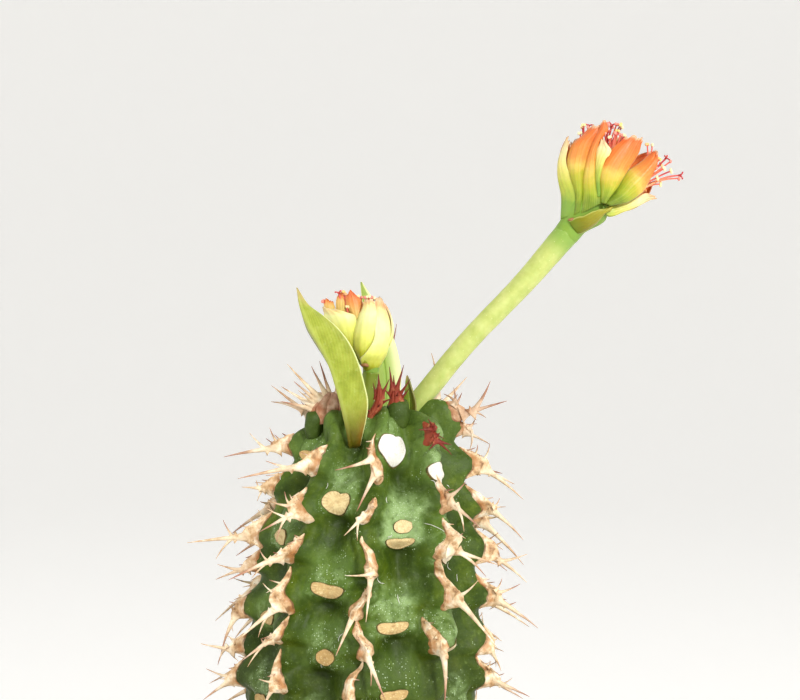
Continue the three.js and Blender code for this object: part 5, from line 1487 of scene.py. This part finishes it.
def add_cup(form, base, aim, seed, length, radius):
    """Cup of tiny flowers: a green foot, a yellow wall, five fleshy lobes round its open top."""
    base, aim = np.array(base, float), unit(aim)
    start = unit(np.cross(aim, (0.3, 1, 0.1)))
    other = np.cross(aim, start)
    turn = turns(CUP_SIDES)
    spokes = start * np.cos(turn)[:, None] + other * np.sin(turn)[:, None]
    lobes = np.cos(CUP_LOBES * turn)
    profile = ((-0.12, 0.5, 0), (0, 0.72, 0), (0.25, 0.92, 0.02), (0.5, 1, 0.03), (0.75, 0.92, 0.08),
               (0.92, 0.86, 0.16), (1, 0.78, 0.3), (0.97, 0.6, 0.2), (0.86, 0.5, 0.05), (0.7, 0.4, 0))
    rings = [base + aim * (t * length) + spokes * (reach * radius * (1 + lobed * lobes))[:, None]
             + aim * (0.35 * lobed * lobes)[:, None] for t, reach, lobed in profile]
    points, faces = closed_rings(np.array(rings))
    along = ring_values([max(0, row[0]) for row in profile], CUP_SIDES, (0, 0.6))
    form.add(points, faces, part=CUP, along=along, seed=draw(seed))
    for k, angle in enumerate(turns(CUP_LOBES)):
        spoke = start * math.cos(angle) + other * math.sin(angle)
        points, faces = ball(0, GLAND_RADII, 16, 10)
        points = (points[:, :1] * spoke + points[:, 1:2] * np.cross(aim, spoke)
                  + points[:, 2:] * (aim + 0.3 * spoke))
        form.add(points + base + aim * (length * 0.99) + spoke * radius * 0.8, faces, part=GLAND, along=0.75,
                 seed=draw(seed + k))


def add_stamen(form, base, aim, tip, forked, seed, length):
    """Thin filament from a cup to its tip, with a pair of anthers or a forked style on it."""
    base, aim, tip = np.array(base, float), unit(aim), np.array(tip, float)
    mouth = base + aim * (length - 1.6)
    offset = tip - mouth
    offset = offset - aim * (offset @ aim)
    start = mouth + unit(offset) * min(0.9, 0.4 * float(np.linalg.norm(offset)))
    u = np.linspace(0, 1, 14)[:, None]
    middle = start + aim * 0.6 * np.linalg.norm(tip - start)
    path = arc(start, middle, tip, u)
    thick = (STYLE_RADIUS if forked else FILAMENT_RADIUS) * (1 - 0.25 * u[:, 0])
    form.add(*tube(path, thick, 8, STAMEN_SIDE), part=FILAMENT, along=ring_values(u, 8, (0, 1)),
             seed=draw(seed))
    tangent = unit(path[-1] - path[-2])
    pair = unit(np.cross(tangent, (math.cos(seed), math.sin(seed), 0.2)))
    if forked:
        for turn in range(3):
            side = pair * math.cos(2.1 * turn) + np.cross(tangent, pair) * math.sin(2.1 * turn)
            arm = np.array([path[-2], tip + side * 0.25, tip + side * 0.7 + tangent * 0.1])
            form.add(*tube(arm, (0.14, 0.13, 0.15), 8, STAMEN_SIDE), part=FILAMENT, along=1,
                     seed=draw(seed + turn))
        return
    for sign in (-1, 1):
        form.add(*ball(tip + pair * 0.2 * sign, ANTHER_RADII, 12, 8), part=ANTHER, along=1,
                 seed=draw(seed + 9))


def make_head(name, head, node_name, seed):
    form = Form("part", "along", "across", "seed")
    middles = np.array([row[0] for row in head["base"]])
    wide, deep = (np.array([row[k] for row in head["base"]]) for k in (1, 2))
    share = np.linspace(0, 1, 30)
    path = curve_through(middles)(share)
    knots = np.linspace(0, 1, len(middles))
    points, faces = tube(path, np.interp(share, knots, deep), BASE_SIDES, (0.78, 0, -0.62),
                         np.interp(share, knots, wide))
    form.add(points, faces, part=CUP, along=ring_values(0.22 * share, BASE_SIDES, (0, 0.2)), seed=0.5)
    for k, cup in enumerate(head["cups"]):
        length, radius = cup.get("length", CUP_LENGTH), cup.get("radius", CUP_RADIUS)
        add_cup(form, cup["base"], cup["aim"], seed + 40 * k, length, radius)
        for j, shape in enumerate(cup["backs"]):
            add_back(form, cup["base"], cup["aim"], seed=seed + 10 * k + j, **shape)
    for k, shape in enumerate(head["fronts"]):
        add_front(form, seed=seed + 60 + k, **shape)
    for k, (index, tip, forked) in enumerate(head["stamens"]):
        cup = head["cups"][index]
        add_stamen(form, cup["base"], cup["aim"], tip, forked, seed + 130 + k, cup.get("length", CUP_LENGTH))
    points, faces = ball(0, DRIED_RADII, 18, 12)
    points = points * (1 + 0.3 * noise(points, 0.35, 4))[:, None]
    form.add(points + np.array(head["node"]) + DRIED_OFFSET, faces, part=DRIED, along=0.5, seed=0.2)
    add_piece(name, form, bloom_material(name), "bloom", node_name)


def bloom_material(name):
    m = Shader(name, specular=0.3, subsurface=0.1, subsurface_scale=0.0015)
    part, along, across, seed = (m.value(key) for key in ("part", "along", "across", "seed"))
    mottle = m.times(m.math("SUBTRACT", m.noise(1.3, 3), 0.5), 0.22)
    place = m.plus(m.plus(along, mottle), m.span(seed, 0, 1, -0.06, 0.06))
    if name.startswith("long"):
        bract = m.ramp(place, (0.04, (0.14, 0.22, 0.012)), (0.17, (0.30, 0.37, 0.022)),
                       (0.29, (0.43, 0.39, 0.028)), (0.40, (0.64, 0.44, 0.08)), (0.52, (0.67, 0.245, 0.044)),
                       (0.70, (0.70, 0.175, 0.034)), (0.97, (0.64, 0.115, 0.021)))
        pale = m.ramp(place, (0.06, (0.19, 0.32, 0.040)), (0.28, (0.44, 0.47, 0.065)),
                      (0.48, (0.66, 0.58, 0.16)), (0.70, (0.70, 0.60, 0.30)), (0.98, (0.68, 0.42, 0.23)))
    else:
        bract = m.ramp(place, (0.03, (0.20, 0.25, 0.006)), (0.18, (0.42, 0.44, 0.022)),
                       (0.42, (0.72, 0.73, 0.15)), (0.74, (0.84, 0.83, 0.36)), (0.90, (0.78, 0.56, 0.23)),
                       (0.98, (0.70, 0.30, 0.12)))
        pale = bract
    streak = m.math("SINE", m.times(across, 34))
    bract = m.mix(m.span(streak, 0.3, 1, 0, 0.10), bract, (0.72, 0.52, 0.24))
    aside = m.math("ABSOLUTE", across)
    rim = m.span(m.math("MAXIMUM", aside, along), 0.93, 0.99, 0, 0.7)
    bract = m.mix(m.times(rim, 0.8), bract, (0.74, 0.62, 0.40))
    leafy = m.ramp(place, (0.0, (0.11, 0.17, 0.006)), (0.40, (0.19, 0.18, 0.004)),
                   (0.95, (0.32, 0.29, 0.018)))
    leafy = m.mix(m.span(aside, 0.85, 0.98, 0, 0.6), leafy, (0.50, 0.54, 0.15))
    cup = m.ramp(along, (0.0, (0.19, 0.32, 0.040)), (0.22, (0.17, 0.29, 0.026)), (0.55, (0.56, 0.52, 0.12)),
                 (0.85, (0.70, 0.36, 0.09)), (1.0, (0.66, 0.16, 0.035)))
    gland = m.ramp(place, (0.1, (0.62, 0.56, 0.15)), (0.5, (0.70, 0.44, 0.13)), (0.8, (0.70, 0.24, 0.06)),
                   (1.0, (0.62, 0.13, 0.035)))
    filament = m.ramp(m.plus(along, m.span(seed, 0, 1, -0.2, 0.2)), (0.1, (0.88, 0.46, 0.22)),
                      (0.5, (0.84, 0.24, 0.14)), (0.8, (0.72, 0.11, 0.09)), (1.0, (0.46, 0.035, 0.045)))
    anther = m.ramp(seed, (0.30, (0.82, 0.28, 0.22)), (0.50, (0.90, 0.66, 0.22)), (0.80, (0.92, 0.80, 0.46)))
    colour = bract
    for place_of, tone in ((PALE, pale), (LEAFY, leafy), (CUP, cup), (GLAND, gland), (FILAMENT, filament),
                           (ANTHER, anther), (DRIED, (0.30, 0.14, 0.05))):
        colour = m.mix(m.span(part, place_of - 0.6, place_of - 0.4), colour, tone)
    return m.finish(colour, m.span(m.noise(0.8, 2), 0.3, 0.7, 0.34, 0.50), ((m.noise(0.45, 3), 0.03),))


# Soil and pot

POT_HEIGHT = 90
POT_RADIUS = 60
RIM_HEIGHT = 18
POT_BASE_RADIUS = 41
POT_FLOOR = 7
WALL_TOP_RADIUS = 51.5
WALL_BASE_INSIDE = 36
INSIDE_FLARE = 15.5  # how much wider the inside is at the pot's top than at its floor
SOIL_CORNER = (49.5, 79)  # bend of the inside at the edge of the soil
DRAIN_RADIUS = 6
POT_SIDES = 240
POT_ROW = 1.5  # between two rings of the pot's points
MARKED_BEYOND = 44  # the turning marks lie outside this radius, below the rim
# The soil's mound round the stem: its height, the radius of its top and the length of its slope
SOIL_MOUND = 1.6
MOUND_RADIUS = 19
MOUND_SLOPE = 24
# How many stones of each kind are tried
COARSE, MIDDLING, FINE = 90, 420, 620
FINE_STONE = 0.8  # the largest of the fine ones
LARGE_STONE = 1.4  # stones above this get more faces
STONE_FLATNESS = 0.8
STONE_CLEARANCE = 0.4
STONE_OVERLAP = 0.82
HOLE_RADIUS = 15.2  # the plain hole in the soil that the stem's foot stands in
HOLE_FLOOR = 71.7
GAP = 0.3


def wall_inside(height):
    return WALL_BASE_INSIDE + INSIDE_FLARE * (height - POT_FLOOR) / (POT_HEIGHT - POT_FLOOR)


def soil_height(x, y):
    radius, angle = np.hypot(x, y), np.arctan2(y, x)
    place = points_at(x, y, 0)
    mound = SOIL_MOUND * smooth(1 - (radius - MOUND_RADIUS) / MOUND_SLOPE)
    grit = 0.35 * noise(place, 3.5, 1) + 0.22 * noise(place, 1.3, 2) + 0.12 * noise(place, 0.6, 3)
    return SOIL_LEVEL - 1 + mound + grit + 0.4 * np.sin(3 * angle + radius / 9)


def make_soil():
    outer = wall_inside(SOIL_LEVEL) - 2 * GAP
    sides, rings = 300, 90
    turn = turns(sides)
    radius = np.linspace(outer - 0.05, HOLE_RADIUS, rings)[:, None]
    x, y = radius * np.cos(turn), radius * np.sin(turn)
    top = circle(radius, turn, soil_height(x, y))
    floor = POT_FLOOR + GAP
    wall = []
    for share in (0, 0.5, 0.9):
        height = floor + share * (SOIL_LEVEL - 2 - floor)
        reach = wall_inside(height) - 2 * GAP
        wall.append(circle(reach, turn, height))
    hole = circle(HOLE_RADIUS, turn, HOLE_FLOOR)
    points, faces = closed_rings(np.concatenate([np.array(wall), top, hole[None]]))
    form = Form("stone")
    form.add(points, faces, stone=0.5)
    add_piece("soil_bed", form, soil_material("soil"), "soil", "soil")


def stem_reach(angle):
    """Distance of the stem's skin from the pot's axis at the soil, in each direction."""
    turn = np.linspace(-math.pi, math.pi, 721)
    around = (np.degrees(turn) + 90 - FRONT_TURN) * RIBS / 360
    skin = stem_point(around, float(run_at_height(SOIL_LEVEL)))
    bearing, reach = np.arctan2(skin[:, 1], skin[:, 0]), np.hypot(skin[:, 0], skin[:, 1])
    order = np.argsort(bearing)
    return np.interp(angle, bearing[order], reach[order])


def make_grit():
    """Loose stones that lie half sunk in the top of the soil, none in another's place."""
    rng = np.random.default_rng(11)
    outer = wall_inside(SOIL_LEVEL) - 2 * GAP
    form = Form("stone")
    taken = []
    wanted = [(rng.uniform(1.7, 2.7), COARSE), (rng.uniform(1.1, 1.6), MIDDLING), (FINE_STONE, FINE)]
    for largest, number in wanted:
        for _ in range(number):
            size = largest * rng.uniform(0.6, 1.0)
            angle = rng.uniform(-math.pi, math.pi)
            inner = float(stem_reach(angle)) + size + STONE_CLEARANCE
            reach = math.sqrt(rng.uniform(inner**2, (outer - size - STONE_CLEARANCE) ** 2))
            x, y = reach * math.cos(angle), reach * math.sin(angle)
            if any((x - a) ** 2 + (y - b) ** 2 < (STONE_OVERLAP * (size + c)) ** 2 for a, b, c in taken):
                continue
            taken.append((x, y, size))
            sides, rows = (18, 11) if size > LARGE_STONE else (12, 8)
            points, faces = ball(0, 1, sides, rows)
            points = points * (1 + 0.28 * noise(points + 9 * rng.random(), 0.9, 1)
                               + 0.10 * noise(points + 9 * rng.random(), 0.35, 2))[:, None]
            points = points * rng.uniform(0.7, 1.0, 3) * size
            turn = rng.uniform(0, 2 * math.pi)
            a, b, c = points.T
            turned = points_at(a * math.cos(turn) - b * math.sin(turn),
                               a * math.sin(turn) + b * math.cos(turn), c * STONE_FLATNESS)
            height = float(soil_height(np.array([x]), np.array([y]))[0]) + 0.15 * size
            form.add(turned + (x, y, height), faces, stone=rng.random())
    add_piece("grit", form, soil_material("grit"), "soil", "soil")


def soil_material(name):
    m = Shader(name, specular=0.25)
    grain = m.noise(0.8, 5, 0.7)
    if name == "soil":
        colour = m.ramp(grain, (0.3, (0.030, 0.020, 0.013)), (0.55, (0.085, 0.058, 0.038)),
                        (0.75, (0.19, 0.145, 0.10)))
        spots, _ = m.cells(1.5)
        colour = m.mix(m.span(spots, 0.12, 0.22, 0.6, 0), colour, (0.42, 0.36, 0.28))
        return m.finish(colour, None, ((grain, 0.5), (m.noise(0.3, 3), 0.15)))
    base = m.ramp(m.value("stone"), (0.0, (0.52, 0.47, 0.40)), (0.26, (0.095, 0.070, 0.055)),
                  (0.44, (0.26, 0.13, 0.075)), (0.58, (0.33, 0.27, 0.20)), (0.74, (0.15, 0.075, 0.040)),
                  (0.88, (0.62, 0.58, 0.52)), blend="CONSTANT")
    colour = m.mix(m.span(grain, 0.35, 0.7, 0, 0.45), base, (0.16, 0.12, 0.085))
    return m.finish(colour, m.span(grain, 0.3, 0.7, 0.7, 0.95), ((grain, 0.35), (m.noise(0.25, 3), 0.1)))


def make_pot():
    foot, wall, rim, under = POT_BASE_RADIUS, WALL_TOP_RADIUS, POT_RADIUS, POT_HEIGHT - RIM_HEIGHT
    hole, inside, top = DRAIN_RADIUS, WALL_BASE_INSIDE, POT_HEIGHT
    corners = (
        (hole, 0.3), (hole + 0.5, 0), (foot - 1.6, 0), (foot - 0.6, 0.35), (foot, 1.2),
        (wall, under - 0.3), (wall + 0.3, under), (rim - 1.8, under), (rim - 1.2, under + 0.3),
        (rim - 0.95, under + 1), (rim, top - 2.4), (rim - 0.15, top - 1.2), (rim - 1, top - 0.25),
        (rim - 2, top), (rim - 6.4, top), (rim - 7.6, top - 0.2), (rim - 8.4, top - 0.9),
        (rim - 8.9, top - 2.2), SOIL_CORNER, (inside, POT_FLOOR), (hole + 0.3, POT_FLOOR),
        (hole, POT_FLOOR - 0.3),
    )
    outline = []
    ring = list(corners) + [corners[0]]
    for (r0, z0), (r1, z1) in zip(ring, ring[1:]):
        steps = max(1, int(math.hypot(r1 - r0, z1 - z0) / POT_ROW))
        for k in range(steps):
            outline.append((r0 + (r1 - r0) * k / steps, z0 + (z1 - z0) * k / steps))
    outline = np.array(outline)
    sides = POT_SIDES
    turn = turns(sides)
    radius, height = outline[:, 0][:, None], outline[:, 1][:, None]
    out = np.where(radius > MARKED_BEYOND, 1, 0) * smooth((height - 2) / 3)
    out = out * smooth((under - 1 - height) / 2)
    marks = out * (0.10 * np.sin(height * 1.9) + 0.06 * np.sin(height * 4.7 + 1))
    slight = 0.12 * noise(circle(radius, turn, height), 30, 4)
    reach = radius + marks + np.where((radius > hole + 1) & (radius < rim - 0.2), slight, 0)
    rings = circle(reach, turn, height)
    faces = grid_faces(len(outline), sides, closed=True)
    last = (len(outline) - 1) * sides
    for k in range(sides):
        after = (k + 1) % sides
        faces.append([last + k, last + after, after, k])
    form = Form()
    form.add(rings, faces)
    add_piece("clay_pot", form, pot_material(), "clay", "pot")


SALT_HEIGHT = 50  # there is more white salt below this
DAMP_HEIGHT = 18  # the clay is darker with damp below this


def pot_material():
    m = Shader("clay", specular=0.22)
    broad = m.noise(26, 4)
    clay = m.ramp(broad, (0.3, (0.40, 0.165, 0.078)), (0.5, (0.50, 0.215, 0.105)),
                  (0.7, (0.59, 0.275, 0.145)))
    grain = m.noise(0.9, 5, 0.7)
    clay = m.mix(m.span(grain, 0.5, 0.8, 0, 0.3), clay, (0.33, 0.13, 0.065))
    speck, _ = m.cells(3.2)
    clay = m.mix(m.span(speck, 0.05, 0.11, 0.5, 0), clay, (0.70, 0.45, 0.30))
    salt = m.times(m.span(m.noise(12, 5, 0.65), 0.48, 0.72), m.by_height(0, SALT_HEIGHT, 0.8, 0.25))
    clay = m.mix(salt, clay, (0.74, 0.60, 0.50))
    damp = m.times(m.by_height(0, DAMP_HEIGHT, 1, 0), 0.35)
    clay = m.mix(damp, clay, (0.20, 0.10, 0.06))
    turning = m.noise(1.2, 2, 0.5, (0.06, 0.06, 1))
    return m.finish(clay, m.span(grain, 0.3, 0.7, 0.78, 0.92), ((turning, 0.12), (grain, 0.10)))


# Stage, lights and camera

FLOOR_SIDES = 96
FLAT_RADIUS = 1300.0  # where the floor starts to curve up
FLOOR_RADIUS = 2600.0
BACKDROP_RISE = 1500
FLOOR_GLOW = 0.33
WORLD_STRENGTH = 0.17
LIT_POINT = (0.01, 0, 0.17)


def make_stage():
    """Pale round floor that curves up far away, so that no horizon shows from any side."""
    bend = FLOOR_RADIUS - FLAT_RADIUS
    profile = [(0.01, 0.0), (400, 0.0), (FLAT_RADIUS, 0.0)]
    profile += [(FLAT_RADIUS + bend * math.sin(a), bend * (1 - math.cos(a)))
                for a in np.linspace(0.05, math.pi / 2, 16)]
    profile += [(FLOOR_RADIUS, bend + BACKDROP_RISE)]
    turn = turns(FLOOR_SIDES)
    points = np.array([circle(r, turn, z) for r, z in profile]).reshape(-1, 3) * MM
    mesh = bpy.data.meshes.new("floor")
    mesh.from_pydata(points.tolist(), [], grid_faces(len(profile), FLOOR_SIDES, closed=True))
    mesh.polygons.foreach_set("use_smooth", [True] * len(mesh.polygons))
    floor = bpy.data.objects.new("floor", mesh)
    bpy.context.scene.collection.objects.link(floor)
    m = Shader("floor", roughness=0.9, specular=0.2)
    m.surface.inputs["Base Color"].default_value = (0.80, 0.795, 0.78, 1)
    m.surface.inputs["Emission Color"].default_value = (1, 0.99, 0.97, 1)
    m.surface.inputs["Emission Strength"].default_value = FLOOR_GLOW
    mesh.materials.append(m.material)


def add_light(name, place, size, power, colour=(1, 1, 1)):
    lamp = bpy.data.lights.new(name, "AREA")
    lamp.shape = "DISK"
    lamp.size = size
    lamp.energy = power
    lamp.color = colour
    light = bpy.data.objects.new(name, lamp)
    bpy.context.scene.collection.objects.link(light)
    light.location = place
    aim = Vector(LIT_POINT) - Vector(place)
    light.rotation_euler = aim.to_track_quat("-Z", "Y").to_euler()


def make_lights():
    add_light("key", (0.34, -0.74, 0.66), 0.16, 7.5, (1.0, 0.99, 0.955))
    add_light("left", (-0.75, -0.25, 0.45), 0.4, 1.5)
    add_light("right", (0.75, -0.2, 0.45), 0.4, 1.6)
    add_light("top", (-0.1, 0.5, 1.1), 0.8, 1.8)
    world = bpy.data.worlds.new("studio")
    world.use_nodes = True
    background = world.node_tree.nodes["Background"].inputs
    background["Color"].default_value = (1, 1, 1, 1)
    background["Strength"].default_value = WORLD_STRENGTH
    bpy.context.scene.world = world


def make_camera():
    across = (PHOTO_SIZE[0] / 2 - ORIGIN_PIXEL[0]) * PIXEL
    up = APEX_HEIGHT + (ORIGIN_PIXEL[1] - PHOTO_SIZE[1] / 2) * PIXEL
    target = Vector((across, 0, up))
    back = Vector((0, -math.cos(ELEVATION), math.sin(ELEVATION)))
    lens = bpy.data.cameras.new("camera")
    lens.sensor_width = SENSOR
    lens.lens = SENSOR * DISTANCE / (PHOTO_SIZE[0] * PIXEL)
    lens.clip_start = 0.01
    lens.clip_end = 20
    camera = bpy.data.objects.new("camera", lens)
    bpy.context.scene.collection.objects.link(camera)
    camera.location = (target + back * DISTANCE) * MM
    camera.rotation_euler = (-back).to_track_quat("-Z", "Y").to_euler()
    bpy.context.scene.camera = camera


skin_material = make_stem()
make_scars()
make_combs()
make_knobs(skin_material)
make_leaves()
make_stalks()
make_head("long_head", LONG_HEAD, "bloom_long", 3)
make_head("short_head", SHORT_HEAD, "bloom_short", 211)
make_soil()
make_grit()
make_pot()
make_stage()
make_lights()
make_camera()
bpy.context.scene.view_settings.view_transform = "Standard"
